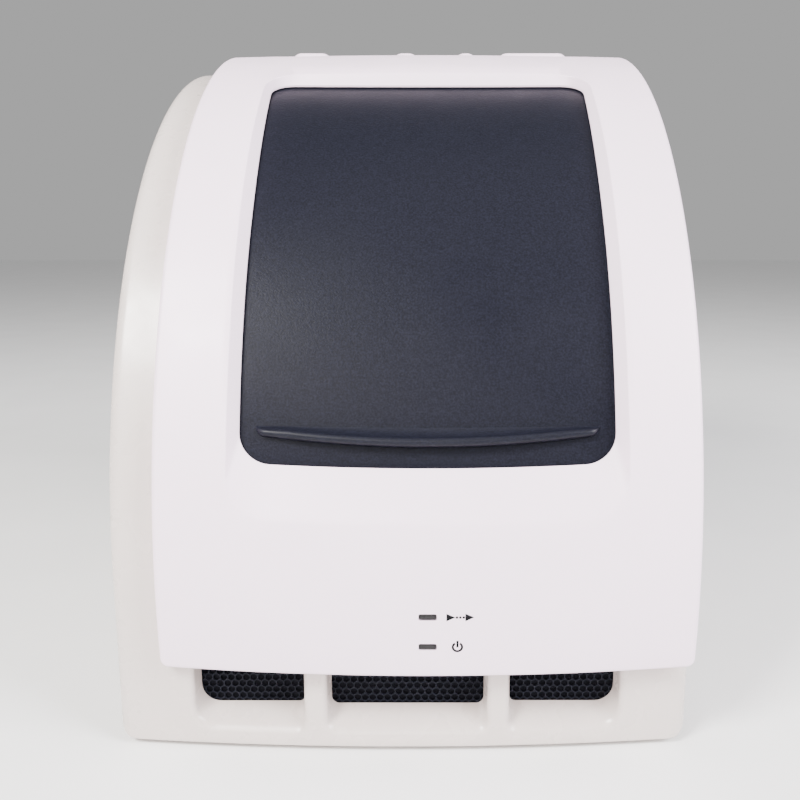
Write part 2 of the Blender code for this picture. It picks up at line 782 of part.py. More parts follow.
def lid():
    x = SHIELD_MID
    rings = []
    for inset, z in ((0.0, LID_LOW), (0.0, LID_TOP - 10), (3.0, LID_TOP - 3), (8.0, LID_TOP)):
        x0, x1 = x - LID_HALF + inset, x + LID_HALF - inset
        y0, y1 = LID_FRONT + inset, LID_REAR - inset
        rings.append([(x0, y0, z), (x1, y0, z), (x1, y1, z), (x0, y1, z)])
    cover = loft("lid_cover", rings, dark_plastic())
    low = (x - LID_HALF + LID_WALL, LID_FRONT + LID_WALL, LID_LOW - 5)
    cut(cover, [(add_box, (low, (x + LID_HALF - LID_WALL, LID_REAR - LID_WALL, LID_TOP - 9.5)))])
    _, hinge_y, hinge_z = LID_HINGE
    _, pivot_y, pivot_z = HANDLE_PIVOT
    lugs = []
    for side in (-1, 1):
        low_x, high_x = sorted((x + side * 70, x + side * 77))
        lugs.append((add_box, ((low_x, LID_REAR - 1.5, hinge_z - 6), (high_x, hinge_y + 6, hinge_z + 6))))
        low_x, high_x = sorted((x + side * 44, x + side * 49))
        lugs.append((add_box, ((low_x, pivot_y - 3.5, pivot_z - 4), (high_x, LID_FRONT + 1.5, pivot_z + 2))))
    fuse(cover, lugs)
    bores = [(add_rod, ((x - 90, hinge_y, hinge_z), (x + 90, hinge_y, hinge_z), PIN_RADIUS + GAP, None, 24))]
    for low_x in (x - 56, x + 42):
        bores.append((add_rod, ((low_x, pivot_y, pivot_z), (low_x + 14, pivot_y, pivot_z), 1.6, None, 12)))
    cut(cover, bores)
    ends = (x - 88, hinge_y, hinge_z), (x + 88, hinge_y, hinge_z)
    pin = rod("lid_hinge_pin", *ends, PIN_RADIUS, sheet_metal())
    plate_low = (x - LID_HALF + 3, LID_FRONT + 3, 184.0)
    plate = box("lid_heater_plate", plate_low, (x + LID_HALF - 3, LID_REAR - 3, 188.0), aluminium())
    fuse(plate, [(add_box, ((x - 73, LID_FRONT + 5, 187), (x + 73, LID_REAR - 5, 191.0)))])
    slots = []
    for column in range(12):
        middle = x + (column - 5.5) * WELL_PITCH
        slots.append((add_box, ((middle - 2.5, BLOCK_Y - 34, 180), (middle + 2.5, BLOCK_Y + 34, 195))))
    cut(plate, slots)
    scanner_pieces, beam_pieces, head_pieces, screw_pieces = scanner()
    lid_axis = hang("lid_axis", LID_HINGE, [smooth(cover), pin, plate] + scanner_pieces)
    hang("lid_handle_axis", HANDLE_PIVOT, [lid_handle()], lid_axis)
    beam_axis = hang("scan_beam_guide", (x, BLOCK_Y, SCAN_Z), beam_pieces, lid_axis)
    hang("scan_head_guide", (x, BLOCK_Y, SCAN_Z), head_pieces, beam_axis)
    hang("lead_screw_axis", (x, SCREW_Y, SCAN_Z), screw_pieces, lid_axis)


def lid_handle():
    """A bar on two arms that swings about the lid's front edge."""
    x, y, z = HANDLE_PIVOT
    item = box("lid_handle", (x - 55, y - 2.5, z - 30), (x + 55, y + 1.5, z - 16), dark_plastic())
    arms = []
    for side in (-1, 1):
        low_x, high_x = sorted((x + side * 50, x + side * 55))
        arms.append((add_box, ((low_x, y - 2.5, z - 22), (high_x, y + 1.5, z + 3))))
        low_x, high_x = sorted((x + side * 44.5, x + side * 51))
        arms.append((add_rod, ((low_x, y, z), (high_x, y, z), 1.2, None, 12)))
    for arm in arms:
        fuse(item, [arm])
    return item


def scanner():
    """Two rails, a beam that slides across, a head on the beam, and the motor and screw that drive it."""
    x = SHIELD_MID
    fixed = []
    for name, y in (("front", LID_FRONT + 9), ("rear", LID_REAR - 9)):
        ends = (x - 75, y, SCAN_Z), (x + 75, y, SCAN_Z)
        fixed.append(rod("scan_rail_" + name, *ends, 2.0, sheet_metal(), sides=12))
    motor_low = (x - LID_HALF + 3, SCREW_Y - 9, SCAN_Z - 9)
    motor_high = (x - LID_HALF + 14, SCREW_Y + 9, SCAN_Z + 9)
    fixed.append(box("scan_motor", motor_low, motor_high, black_plastic(), 0.8))
    beam_low = (x - 5, LID_FRONT + 4, SCAN_Z - 4)
    beam = box("scan_beam", beam_low, (x + 5, LID_REAR - 4, SCAN_Z + 4), aluminium())
    bores = []
    for y, radius in ((LID_FRONT + 9, 2.5), (LID_REAR - 9, 2.5), (SCREW_Y, 1.9)):
        bores.append((add_rod, ((x - 9, y, SCAN_Z), (x + 9, y, SCAN_Z), radius, None, 12)))
    cut(beam, bores)
    head_low = (x - 10, BLOCK_Y - HEAD_HALF, SCAN_Z - 15)
    head = box("scan_head", head_low, (x + 10, BLOCK_Y + HEAD_HALF, SCAN_Z + 9), black_plastic())
    channel = ((x - 5.4, BLOCK_Y - 20, SCAN_Z - 4.4), (x + 5.4, BLOCK_Y + 20, SCAN_Z + 4.4))
    cut(head, [(add_box, channel)])
    start, end = (x - LID_HALF + 14.4, SCREW_Y, SCAN_Z), (x + 73, SCREW_Y, SCAN_Z)
    screw = rod("scan_lead_screw", start, end, 1.5, sheet_metal(), sides=12)
    return fixed, [beam], [head], [screw]


def lid_supports():
    x = SHIELD_MID
    _, hinge_y, hinge_z = LID_HINGE
    for name, side in (("left", -1), ("right", 1)):
        low_x, high_x = sorted((x + side * 80, x + side * 86))
        low = (low_x, hinge_y - 11, DECK_FLOOR + GAP)
        item = box("lid_bracket_" + name, low, (high_x, hinge_y + 6, hinge_z + 7), sheet_metal(), 0.8)
        apply_modifiers(item)
        ends = (low_x - 3, hinge_y, hinge_z), (high_x + 3, hinge_y, hinge_z)
        cut(item, [(add_rod, (*ends, PIN_RADIUS + GAP, None, 24))])
    box("latch_keeper", (x - 18, -168, DECK_FLOOR + GAP), (x + 18, -159, 183), black_plastic(), 1.0)


# Behind the bay


def optics():
    front = DECK_REAR + DECK_WALL + 2.5
    bench = ((SHIELD_MID - 104, front, BENCH_TOP - 3), (SHIELD_MID + 104, 150, BENCH_TOP))
    box("optics_bench", *bench, sheet_metal())
    lamp = box("lamp_housing", (50, 30, BENCH_TOP + GAP), (94, 95, 290), aluminium())
    grooves = [(add_box, ((45, 36 + 10 * index, 262), (100, 40 + 10 * index, 300))) for index in range(6)]
    cut(lamp, grooves)
    for name, x in (("excitation", 42.0), ("emission", -10.0)):
        motor = (x - 28, WHEEL_Y, WHEEL_Z), (x - 4, WHEEL_Y, WHEEL_Z)
        item = rod(name + "_motor", *motor, 14.0, black_plastic(), sides=20)
        low = (x - 27, WHEEL_Y - 12, BENCH_TOP + GAP)
        fuse(item, [(add_box, (low, (x - 5, WHEEL_Y + 12, WHEEL_Z - 8)))])
        faces = (x - 3, WHEEL_Y, WHEEL_Z), (x + 2, WHEEL_Y, WHEEL_Z)
        wheel = rod(name + "_filter_wheel", *faces, WHEEL_RADIUS, black_plastic(), sides=40)
        holes = []
        for index in range(FILTER_COUNT):
            angle = 2 * pi * index / FILTER_COUNT
            y, z = WHEEL_Y + FILTER_CIRCLE * cos(angle), WHEEL_Z + FILTER_CIRCLE * sin(angle)
            holes.append((add_rod, ((x - 6, y, z), (x + 5, y, z), FILTER_RADIUS, None, 16)))
        cut(wheel, holes)
        hang(name + "_wheel_axis", (x, WHEEL_Y, WHEEL_Z), [smooth(wheel)])
    tube = rod("detector_tube", (-80, 82, 275), (-44, 82, 275), 15.0, aluminium(), sides=20)
    fuse(tube, [(add_box, ((-76, 72, BENCH_TOP + GAP), (-50, 92, 264)))])
    fibre_bundle()


def fibre_bundle():
    """The fibres' fixed stretch, from the wheels to the bay's rear wall."""
    start, end = Vector((20, 96, 246)), Vector((SHIELD_MID + 94, DECK_REAR + 1, 238))
    curve = bpy.data.curves.new("fibre_bundle", "CURVE")
    curve.dimensions = "3D"
    curve.bevel_depth = 3.0 * MM
    curve.bevel_resolution = 2
    curve.use_fill_caps = True
    spline = curve.splines.new("POLY")
    count = 12
    spline.points.add(count - 1)
    control = (start, Vector((20, 200, 246)), Vector((SHIELD_MID + 104, 200, 238)), end)
    for index in range(count):
        t = index / (count - 1)
        weights = ((1 - t) ** 3, 3 * t * (1 - t) ** 2, 3 * t**2 * (1 - t), t**3)
        point = sum((w * p for w, p in zip(weights, control)), Vector()) * MM
        spline.points[index].co = (*point, 1.0)
    item = bpy.data.objects.new("fibre_bundle", curve)
    bpy.context.scene.collection.objects.link(item)
    curve.materials.append(black_plastic())


def electronics():
    supply = box("power_supply", (-157, -20, 18), (-106, 165, 108), sheet_metal(), 1.0)
    apply_modifiers(supply)
    cut(supply, [(add_box, ((-155.5, -30, 19.5), (-107.5, 163.5, 106.5)))])
    slots = [(add_box, ((-165, 10 + 18 * index, 40), (-154, 18 + 18 * index, 90))) for index in range(7)]
    cut(supply, slots)
    board = box("main_board", (137, -110, 50), (138.6, 150, 250), board_green())
    chips = []
    for y, z, wide, high, tall in CHIPS:
        chips.append((add_box, ((138, y, z), (138.6 + tall, y + wide, z + high))))
    fuse(board, chips)


# Rear and base


def rear_panel():
    low, high = HOUSING_REAR + GAP, SHIELD_REAR
    half = HALF_WIDTH - PANEL_MARGIN
    bottom = SHELL_BOTTOM + PANEL_MARGIN
    top = AXIS_Z + HOUSING_RADIUS - PANEL_MARGIN
    right = [(half - PANEL_CORNER, bottom), (half, bottom + PANEL_CORNER)]
    right += [(half, top - PANEL_CORNER), (half - PANEL_CORNER, top)]
    outline = right + [(-x, z) for x, z in reversed(right)]
    rings = [[(x, y, z) for x, z in outline] for y in (low, high)]
    item = loft("rear_panel", rings, sheet_metal())
    x, z = REAR_FAN
    inlet_low = (INLET_X - 22.4, 200, INLET_Z - 14.4)
    port_x, port_z = DATA_PORT
    openings = [
        (add_rod, ((x, 200, z), (x, 240, z), 43.0, None, 32)),
        (add_box, (inlet_low, (INLET_X + 46.4, 240, INLET_Z + 14.4))),
        (add_box, ((port_x - 6.9, 200, port_z - 6.9), (port_x + 6.9, 240, port_z + 6.9))),
    ]
    for index in range(6):
        openings.append((add_box, ((60, 200, 300 + 10 * index), (130, 240, 304 + 10 * index))))
    cut(item, openings)
    guard = rod("rear_fan_guard", (x, SHIELD_REAR + GAP, z), (x, 228, z), 47.0, sheet_metal(), sides=32)
    rings = []
    for outer, inner in ((44.5, 34.5), (32.0, 22.0), (19.5, 9.5)):
        for index in range(4):
            rings.append((add_ring_sector, (x, z, inner, outer, 0.5 * pi * index + 0.25 * pi)))
    cut(guard, rings)
    fuse(guard, [(add_rod, ((x, 226.5, z), (x, 230, z), 7.0, 5.5, 16))])
    smooth(guard)


def add_ring_sector(builder, x, z, inner, outer, middle):
    """A quarter of a flat ring, less room for the spokes at both its ends."""
    outline = []
    for radius, way in ((outer, 1), (inner, -1)):
        half = 0.25 * pi - 1.6 / radius
        for step in range(6):
            angle = middle + way * half * (2 * step / 5 - 1)
            outline.append((x + radius * cos(angle), z + radius * sin(angle)))
    add_loft(builder, [[(px, y, pz) for px, pz in outline] for y in (215, 235)])


def inlet_and_ports():
    face = SHIELD_REAR + GAP
    low, high = (INLET_X - 25, face, INLET_Z - 17), (INLET_X + 49, face + 2.2, INLET_Z + 17)
    item = box("inlet_module", low, high, black_plastic())
    fuse(item, [(add_box, ((INLET_X - 22, 202, INLET_Z - 14), (INLET_X + 46, face + 1, INLET_Z + 14)))])
    socket = ((INLET_X - 12, 209, INLET_Z - 8), (INLET_X + 12, 235, INLET_Z + 8))
    rocker_well = ((INLET_X + 23, 214, INLET_Z - 11), (INLET_X + 39, 235, INLET_Z + 11))
    cut(item, [(add_box, socket), (add_box, rocker_well)])
    blades = []
    for x, z in ((-7, -2), (0, 2), (7, -2)):
        low = (INLET_X + x - 1, 206, INLET_Z + z - 2)
        blades.append((add_box, (low, (INLET_X + x + 1, 217, INLET_Z + z + 2))))
    fuse(item, blades)
    outline = ((-9.0, 219.0), (9.0, 219.0), (9.0, 224.4), (3.0, 225.6), (0.0, 225.6), (-9.0, 228.0))
    rings = [[(INLET_X + x, y, INLET_Z + z) for z, y in outline] for x in (23.6, 38.4)]
    rocker = loft("power_rocker", rings, dark_plastic())
    hang("power_rocker_axis", (INLET_X + 31, 221, INLET_Z), [rocker])
    x, z = DATA_PORT
    port = box("data_port", (x - 6.5, 208, z - 6.5), (x + 6.5, face + 3.4, z + 6.5), sheet_metal())
    cut(port, [(add_box, ((x - 5.5, 213, z - 5.5), (x + 5.5, 235, z + 5.5)))])
    fuse(port, [(add_box, ((x - 2.5, 211, z - 1.5), (x + 2.5, 218, z + 1.5)))])


def base():
    pan = box("base_pan", (-149, -185, 3.9), (149, 220, 16), sheet_metal())
    cut(pan, [(add_box, ((-147, -183, 5.9), (147, 218, 30)))])
    slots = [(add_box, ((-90 + 14 * index, 20, 0), (-84 + 14 * index, 110, 10))) for index in range(12)]
    cut(pan, slots)
    foot_x, front_y, rear_y = FEET
    for name_y, y in (("front", front_y), ("rear", rear_y)):
        for name_x, x in (("left", -foot_x), ("right", foot_x)):
            rod(f"foot_{name_y}_{name_x}", (x, y, 0), (x, y, 3.9 - GAP), 11.5, rubber(), 12.5)


def main():
    clear_scene()
    base()
    main_housing()
    front_shield()
    vent_grilles()
    indicator_lenses()
    sliding_door()
    door_tracks()
    side_frames()
    work_deck()
    thermal_stack()
    cooling()
    lid()
    lid_supports()
    optics()
    electronics()
    rear_panel()
    inlet_and_ports()


main()
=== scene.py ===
import json
from math import cos, pi, radians, sin, sqrt

import bmesh
import bpy
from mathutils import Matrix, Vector


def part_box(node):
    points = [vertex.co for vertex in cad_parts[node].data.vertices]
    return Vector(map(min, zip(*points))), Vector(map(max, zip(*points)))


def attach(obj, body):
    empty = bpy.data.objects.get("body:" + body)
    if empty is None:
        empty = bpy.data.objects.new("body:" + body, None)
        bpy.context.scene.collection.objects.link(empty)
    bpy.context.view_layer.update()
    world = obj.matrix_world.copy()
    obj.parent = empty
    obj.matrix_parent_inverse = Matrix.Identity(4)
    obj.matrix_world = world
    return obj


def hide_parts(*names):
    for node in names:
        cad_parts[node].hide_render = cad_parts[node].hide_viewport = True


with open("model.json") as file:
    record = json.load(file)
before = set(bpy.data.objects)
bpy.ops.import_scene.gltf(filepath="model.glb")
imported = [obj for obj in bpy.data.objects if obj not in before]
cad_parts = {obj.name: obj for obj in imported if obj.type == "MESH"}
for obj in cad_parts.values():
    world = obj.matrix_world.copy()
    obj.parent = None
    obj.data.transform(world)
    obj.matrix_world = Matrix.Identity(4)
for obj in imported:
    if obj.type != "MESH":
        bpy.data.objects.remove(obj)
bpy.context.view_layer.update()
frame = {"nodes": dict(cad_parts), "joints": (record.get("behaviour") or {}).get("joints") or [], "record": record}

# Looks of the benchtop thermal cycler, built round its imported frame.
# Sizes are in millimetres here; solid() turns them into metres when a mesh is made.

MM = 0.001


def corners(node):
    low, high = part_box(node)
    return low / MM, high / MM


def joint_place(name):
    found = [joint for joint in frame["joints"] if joint["name"] == name]
    return Vector(found[0]["pos_m"]) / MM


# Driving dimensions, from the frame where it has them
_, AXIS_Y, AXIS_Z = joint_place("door_slide")
HOUSING_LOW, HOUSING_HIGH = corners("main_housing")
SHIELD_LOW, SHIELD_HIGH = corners("front_shield")
HALF_WIDTH = HOUSING_HIGH.x
HOUSING_RADIUS = HOUSING_HIGH.z - AXIS_Z
HOUSING_CROWN = 9.2
HOUSING_REAR = HOUSING_HIGH.y
SHELL_BOTTOM = HOUSING_LOW.z
CORNER_RADIUS = 7.0
BASE_CORNER_RADIUS = 10.5
WALL = 3.0
FOOT_ROUNDING = 1.5
SHIELD_MID = (SHIELD_LOW.x + SHIELD_HIGH.x) / 2
SHIELD_HALF = (SHIELD_HIGH.x - SHIELD_LOW.x) / 2
# x of each pad's middle, and its half width
PADS = ((-80.5, 16.5), (-3.5, 10.7), (46.0, 9.2), (101.0, 29.0))
PAD_Y = 100.0
PAD_DEPTH_HALF = 12.0
PAD_CORNER = 9.0
PAD_TALL = 4.4
PAD_SLOPE = 6.0
SHIELD_RADIUS = SHIELD_HIGH.z - PAD_TALL - AXIS_Z
SHIELD_CROWN = AXIS_Y - SHIELD_RADIUS - SHIELD_LOW.y
SHIELD_REAR = SHIELD_HIGH.y
SHIELD_BOTTOM_ARC = SHIELD_LOW.z - AXIS_Z
SHIELD_EDGE = 2.8
SHIELD_WALL = 2.5
SKIRT_CLEARANCE = 0.9
EDGE_SEAM = 1.2
OPENING_HALF = 103.9
OPENING_LOW = 74.6
OPENING_HIGH = 373.5
OPENING_CORNERS = (17.0, 15.0)
OPENING_SPREAD = 3.0
OPENING_SAG = 2.0
RECESS_HALF = 109.8
RECESS_LOW = 42.0
RECESS_HIGH = 378.5
RECESS_CORNERS = (24.0, 25.0)
RECESS_SOFT = 0.1
RIM_WALL = 1.2
RIM_GAP = 1.0
LENS_GAP = 0.7
DOOR_RADIUS = 331.2
DOOR_CROWN = 1.4
DOOR_WALL = 3.0
DOOR_HALF = 108.0
DOOR_LOW = 11.7
DOOR_HIGH = 65.5
GRIP_HALF = 95.0
GRIP_TOP = 16.2
GRIP_END = 5.0
GRIP_REACH = 3.0
GRIP_REACH_RISE = 4.9
GRIP_DROP = 6.0
GRIP_DROP_RISE = 6.6
GRIP_SUNK = 0.4
VENT_DEPTH = 15.3
VENT_LOW = 22.6
VENT_TOP = 62.0
VENT_EDGE = 4.0
VENT_FLARE = 3.6
VENT_SLOPE = 0.6
MESH_ACROSS = 4.4
MESH_UP = 3.81
MESH_HOLE = 1.98
MESH_CORNER = 1.09
MESH_THICK = 1.2
MESH_MARGIN = 2.5
WELL_COLUMNS = 12
WELL_ROWS = 8
WELL_PITCH = 9.0
SCREW_RADIUS = 2.6
ROCKER_FACE = 225.6
ROCKER_HALF = 9.0
ROCKER_FLAT = 3.0
ROCKER_DIP = 2.4
ROCKER_RISE = 1.2
FLOOR_REACH = 7500


# Materials


def shader_of(material):
    return material.node_tree.nodes["Principled BSDF"]


def new_material(name, roughness, metallic=0.0, specular=0.5):
    material = bpy.data.materials.new(name)
    material.use_nodes = True
    shader = shader_of(material)
    shader.inputs["Roughness"].default_value = roughness
    shader.inputs["Metallic"].default_value = metallic
    shader.inputs["Specular IOR Level"].default_value = specular
    return material


class Nodes:
    """Short calls for building a material's nodes from object coordinates."""

    def __init__(self, material):
        self.tree = material.node_tree
        self.shader = shader_of(material)
        self.place = self.tree.nodes.new("ShaderNodeTexCoord").outputs["Object"]

    def add(self, kind, **values):
        node = self.tree.nodes.new(kind)
        for key, value in values.items():
            setattr(node, key, value)
        return node

    def link(self, source, target):
        self.tree.links.new(source, target)

    def stretched(self, scale):
        mapping = self.add("ShaderNodeMapping")
        mapping.inputs["Scale"].default_value = scale
        self.link(self.place, mapping.inputs["Vector"])
        return mapping.outputs["Vector"]

    def noise(self, size_mm, detail=2.0, place=None):
        """Noise whose features are about size_mm across."""
        node = self.add("ShaderNodeTexNoise")
        node.inputs["Scale"].default_value = 1.0 / (size_mm * MM)
        node.inputs["Detail"].default_value = detail
        self.link(place or self.place, node.inputs["Vector"])
        return node.outputs["Fac"]

    def ramp(self, source, low, high, at=(0.3, 0.7)):
        """Spreads a value between two greys or colours."""
        node = self.add("ShaderNodeValToRGB")
        for element, place, colour in zip(node.color_ramp.elements, at, (low, high)):
            element.position = place
            element.color = (*colour, 1.0) if isinstance(colour, tuple) else (colour, colour, colour, 1.0)
        self.link(source, node.inputs["Fac"])
        return node.outputs["Color"]

    def bump(self, height, strength, depth_mm, before=None):
        node = self.add("ShaderNodeBump")
        node.inputs["Strength"].default_value = strength
        node.inputs["Distance"].default_value = depth_mm * MM
        self.link(height, node.inputs["Height"])
        if before:
            self.link(before, node.inputs["Normal"])
        return node.outputs["Normal"]

    def finish(self, colour=None, roughness=None, normal=None):
        for name, value in (("Base Color", colour), ("Roughness", roughness), ("Normal", normal)):
            if value:
                self.link(value, self.shader.inputs[name])


def shade(colour, factor):
    return tuple(min(1.0, part * factor) for part in colour)


def moulded(name, colour, roughness, grain_mm=0.5, grain_depth=0.02, spread=0.03, specular=0.5):
    """Injection-moulded plastic: a fine eroded grain, slow changes of tone, slight wear in its sheen."""
    material = new_material(name, roughness, specular=specular)
    nodes = Nodes(material)
    tone = nodes.noise(60.0, 3.0)
    tint = nodes.ramp(tone, shade(colour, 1 - spread), shade(colour, 1 + spread))
    sheen = nodes.ramp(nodes.noise(18.0, 4.0), roughness - 0.05, roughness + 0.05)
    grain = nodes.noise(grain_mm, 2.0)
    wide_grain = nodes.noise(grain_mm * 4, 1.0)
    normal = nodes.bump(grain, 0.6, grain_depth)
    normal = nodes.bump(wide_grain, 0.25, grain_depth, normal)
    nodes.finish(tint, sheen, normal)
    return material


def speckled(name, colour, roughness, grain_mm, grain_depth, specular=0.3):
    """Dark plastic with a coarse spark-eroded grain that catches the light in points."""
    material = new_material(name, roughness, specular=specular)
    nodes = Nodes(material)
    grain = nodes.noise(grain_mm, 3.0)
    patches = nodes.noise(45.0, 2.0)
    dots = nodes.ramp(grain, shade(colour, 0.72), shade(colour, 1.5), (0.36, 0.7))
    sheen = nodes.ramp(patches, roughness - 0.04, roughness + 0.05)
    normal = nodes.bump(grain, 0.75, grain_depth)
    normal = nodes.bump(nodes.noise(grain_mm * 3, 1.0), 0.3, grain_depth, normal)
    nodes.finish(dots, sheen, normal)
    return material


def brushed(name, colour, roughness, along, depth=0.006):
    """Metal with fine lines along one axis, 0, 1 or 2."""
    material = new_material(name, roughness, 1.0)
    nodes = Nodes(material)
    scale = [1.0, 1.0, 1.0]
    scale[along] = 0.03
    lines = nodes.noise(0.5, 4.0, nodes.stretched(scale))
    tint = nodes.ramp(lines, shade(colour, 0.86), shade(colour, 1.1))
    sheen = nodes.ramp(lines, roughness - 0.08, roughness + 0.1)
    nodes.finish(tint, sheen, nodes.bump(lines, 0.5, depth))
    return material


def plated(name, colour, roughness):
    """Zinc-plated or bare sheet: a faint crystalline mottle."""
    material = new_material(name, roughness, 1.0)
    nodes = Nodes(material)
    cells = nodes.add("ShaderNodeTexVoronoi")
    cells.inputs["Scale"].default_value = 1.0 / (9.0 * MM)
    nodes.link(nodes.place, cells.inputs["Vector"])
    mottle = nodes.ramp(cells.outputs["Color"], shade(colour, 0.84), shade(colour, 1.08))
    sheen = nodes.ramp(nodes.noise(25.0, 4.0), roughness - 0.06, roughness + 0.1)
    nodes.finish(mottle, sheen, nodes.bump(nodes.noise(0.8, 2.0), 0.3, 0.01))
    return material


def powder_coat(name, colour, roughness):
    material = new_material(name, roughness)
    nodes = Nodes(material)
    tint = nodes.ramp(nodes.noise(40.0, 2.0), shade(colour, 0.95), shade(colour, 1.04))
    sheen = nodes.ramp(nodes.noise(6.0, 3.0), roughness - 0.06, roughness + 0.06)
    nodes.finish(tint, sheen, nodes.bump(nodes.noise(0.9, 1.0), 0.5, 0.05))
    return material


def soft_rubber(name, colour):
    material = new_material(name, 0.8, specular=0.25)
    nodes = Nodes(material)
    tint = nodes.ramp(nodes.noise(3.0, 4.0), shade(colour, 0.8), shade(colour, 1.3))
    nodes.finish(tint, None, nodes.bump(nodes.noise(0.6, 3.0), 0.5, 0.04))
    return material


def foam(name, colour):
    """Open-cell filter foam, with painted shade darkening the middle of each pore."""
    material = new_material(name, 0.95, specular=0.1)
    nodes = Nodes(material)
    cells = nodes.add("ShaderNodeTexVoronoi", feature="DISTANCE_TO_EDGE")
    cells.inputs["Scale"].default_value = 1.0 / (0.9 * MM)
    nodes.link(nodes.place, cells.inputs["Vector"])
    # Lighter strands at the cell edges and darker pore middles: the darkening is painted shade in the pores.
    strands_and_painted_pore_shade = nodes.ramp(cells.outputs["Distance"], shade(colour, 1.6), shade(colour, 0.4), (0.02, 0.2))
    nodes.finish(strands_and_painted_pore_shade, None, nodes.bump(cells.outputs["Distance"], 0.8, 0.3))
    return material


def circuit_board(name, colour):
    """Solder mask over tracks, which show as slightly raised paler lines."""
    material = new_material(name, 0.35)
    nodes = Nodes(material)
    tracks = nodes.add("ShaderNodeTexBrick")
    tracks.inputs["Scale"].default_value = 90.0
    tracks.inputs["Mortar Size"].default_value = 0.02
    tracks.inputs["Color1"].default_value = (*colour, 1.0)
    tracks.inputs["Color2"].default_value = (*shade(colour, 1.25), 1.0)
    tracks.inputs["Mortar"].default_value = (*shade(colour, 1.9), 1.0)
    turn = nodes.add("ShaderNodeMapping")
    turn.inputs["Rotation"].default_value = (0.0, radians(90), 0.0)
    nodes.link(nodes.place, turn.inputs["Vector"])
    nodes.link(turn.outputs["Vector"], tracks.inputs["Vector"])
    sheen = nodes.ramp(nodes.noise(12.0, 3.0), 0.28, 0.42)
    nodes.finish(tracks.outputs["Color"], sheen, nodes.bump(tracks.outputs["Fac"], 0.3, 0.05))
    return material


SHIELD_COLOUR = (0.90, 0.735, 0.86)
# The housing colour is set well below the shield's as painted shade, for the shade the shield casts on the side
# strips and plinth; its warmer beige tone is partly the plastic's own.
HOUSING_COLOUR_WITH_PAINTED_SHADE = (0.585, 0.52, 0.49)
DOOR_COLOUR = (0.0058, 0.0062, 0.0108)

MATERIALS = {
    "shield_white": moulded("shield_white", SHIELD_COLOUR, 0.42, 0.6, 0.012, 0.012),
    "housing_white": moulded("housing_white", HOUSING_COLOUR_WITH_PAINTED_SHADE, 0.28, 0.6, 0.006, 0.015),
    "deck_white": moulded("deck_white", (0.68, 0.68, 0.66), 0.5, 0.7, 0.02, 0.03),
    # The mesh's own black is set darker still as painted shade, for the shadow the scoops cast on it.
    "mesh_black": moulded("mesh_black", (0.007, 0.0085, 0.015), 0.5, 0.5, 0.003, 0.1, 0.15),
    "lens_dark": moulded("lens_dark", (0.011, 0.01, 0.011), 0.3, 0.3, 0.003, 0.1, 0.25),
    "foot_rubber": soft_rubber("foot_rubber", (0.025, 0.025, 0.025)),
    "sheet_steel": plated("sheet_steel", (0.62, 0.63, 0.65), 0.34),
    "guard_steel": brushed("guard_steel", (0.7, 0.7, 0.72), 0.2, 1, 0.003),
    "fan_black": moulded("fan_black", (0.014, 0.014, 0.015), 0.42, 0.5, 0.01, 0.15),
    "moulded_black": moulded("moulded_black", (0.018, 0.018, 0.02), 0.45, 0.5, 0.015, 0.15),
    "track_plastic": moulded("track_plastic", (0.72, 0.72, 0.68), 0.4, 0.4, 0.006, 0.03),
    "block_metal": brushed("block_metal", (0.8, 0.8, 0.81), 0.3, 0),
    "sink_metal": brushed("sink_metal", (0.68, 0.69, 0.71), 0.36, 1),
    "peltier_ceramic": moulded("peltier_ceramic", (0.84, 0.84, 0.81), 0.6, 0.4, 0.01, 0.03),
    "board_green": circuit_board("board_green", (0.015, 0.12, 0.055)),
    "fibre_black": soft_rubber("fibre_black", (0.02, 0.02, 0.02)),
    "door_dark": speckled("door_dark", DOOR_COLOUR, 0.42, 1.1, 0.17, 0.09),
    "handle_dark": speckled("handle_dark", shade(DOOR_COLOUR, 1.05), 0.38, 1.1, 0.11, 0.14),
    "guide_plastic": moulded("guide_plastic", (0.78, 0.78, 0.74), 0.35, 0.4, 0.005, 0.03),
    "lid_dark": speckled("lid_dark", (0.045, 0.048, 0.054), 0.5, 0.7, 0.05),
    "plate_metal": brushed("plate_metal", (0.55, 0.55, 0.56), 0.38, 0),
    "polished_steel": brushed("polished_steel", (0.74, 0.74, 0.76), 0.16, 0, 0.001),
    "wheel_black": powder_coat("wheel_black", (0.02, 0.02, 0.021), 0.45),
    "rocker_black": moulded("rocker_black", (0.016, 0.016, 0.018), 0.3, 0.4, 0.006, 0.1),
}
PAINTED_PANEL = powder_coat("panel_paint", (0.66, 0.655, 0.65), 0.5)
FILTER_FOAM = foam("filter_foam", (0.006, 0.006, 0.009))
SYMBOL_INK = moulded("symbol_ink", (0.004, 0.004, 0.005), 0.6, 0.3, 0.002, 0.1, 0.1)
SCREW_STEEL = brushed("screw_steel", (0.6, 0.6, 0.61), 0.28, 0, 0.002)


# Making pieces


def solid(name, builder):
    mesh = bpy.data.meshes.new(name)
    builder.to_mesh(mesh)
    builder.free()
    for vertex in mesh.vertices:
        vertex.co *= MM
    item = bpy.data.objects.new(name, mesh)
    bpy.context.scene.collection.objects.link(item)
    return item


def apply_modifiers(item):
    graph = bpy.context.evaluated_depsgraph_get()
    mesh = bpy.data.meshes.new_from_object(item.evaluated_get(graph))
    item.modifiers.clear()
    item.data = mesh
    return item


def smooth(item, degrees=38):
    item.data.shade_smooth()
    item.data.set_sharp_from_angle(angle=radians(degrees))
    return item


def rounded(item, width, segments=3, degrees=35):
    """Rounds the sharp edges."""
    bevel = item.modifiers.new("bevel", "BEVEL")
    bevel.width = width * MM
    bevel.segments = segments
    bevel.limit_method = "ANGLE"
    bevel.angle_limit = radians(degrees)
    bevel.harden_normals = False
    return apply_modifiers(item)


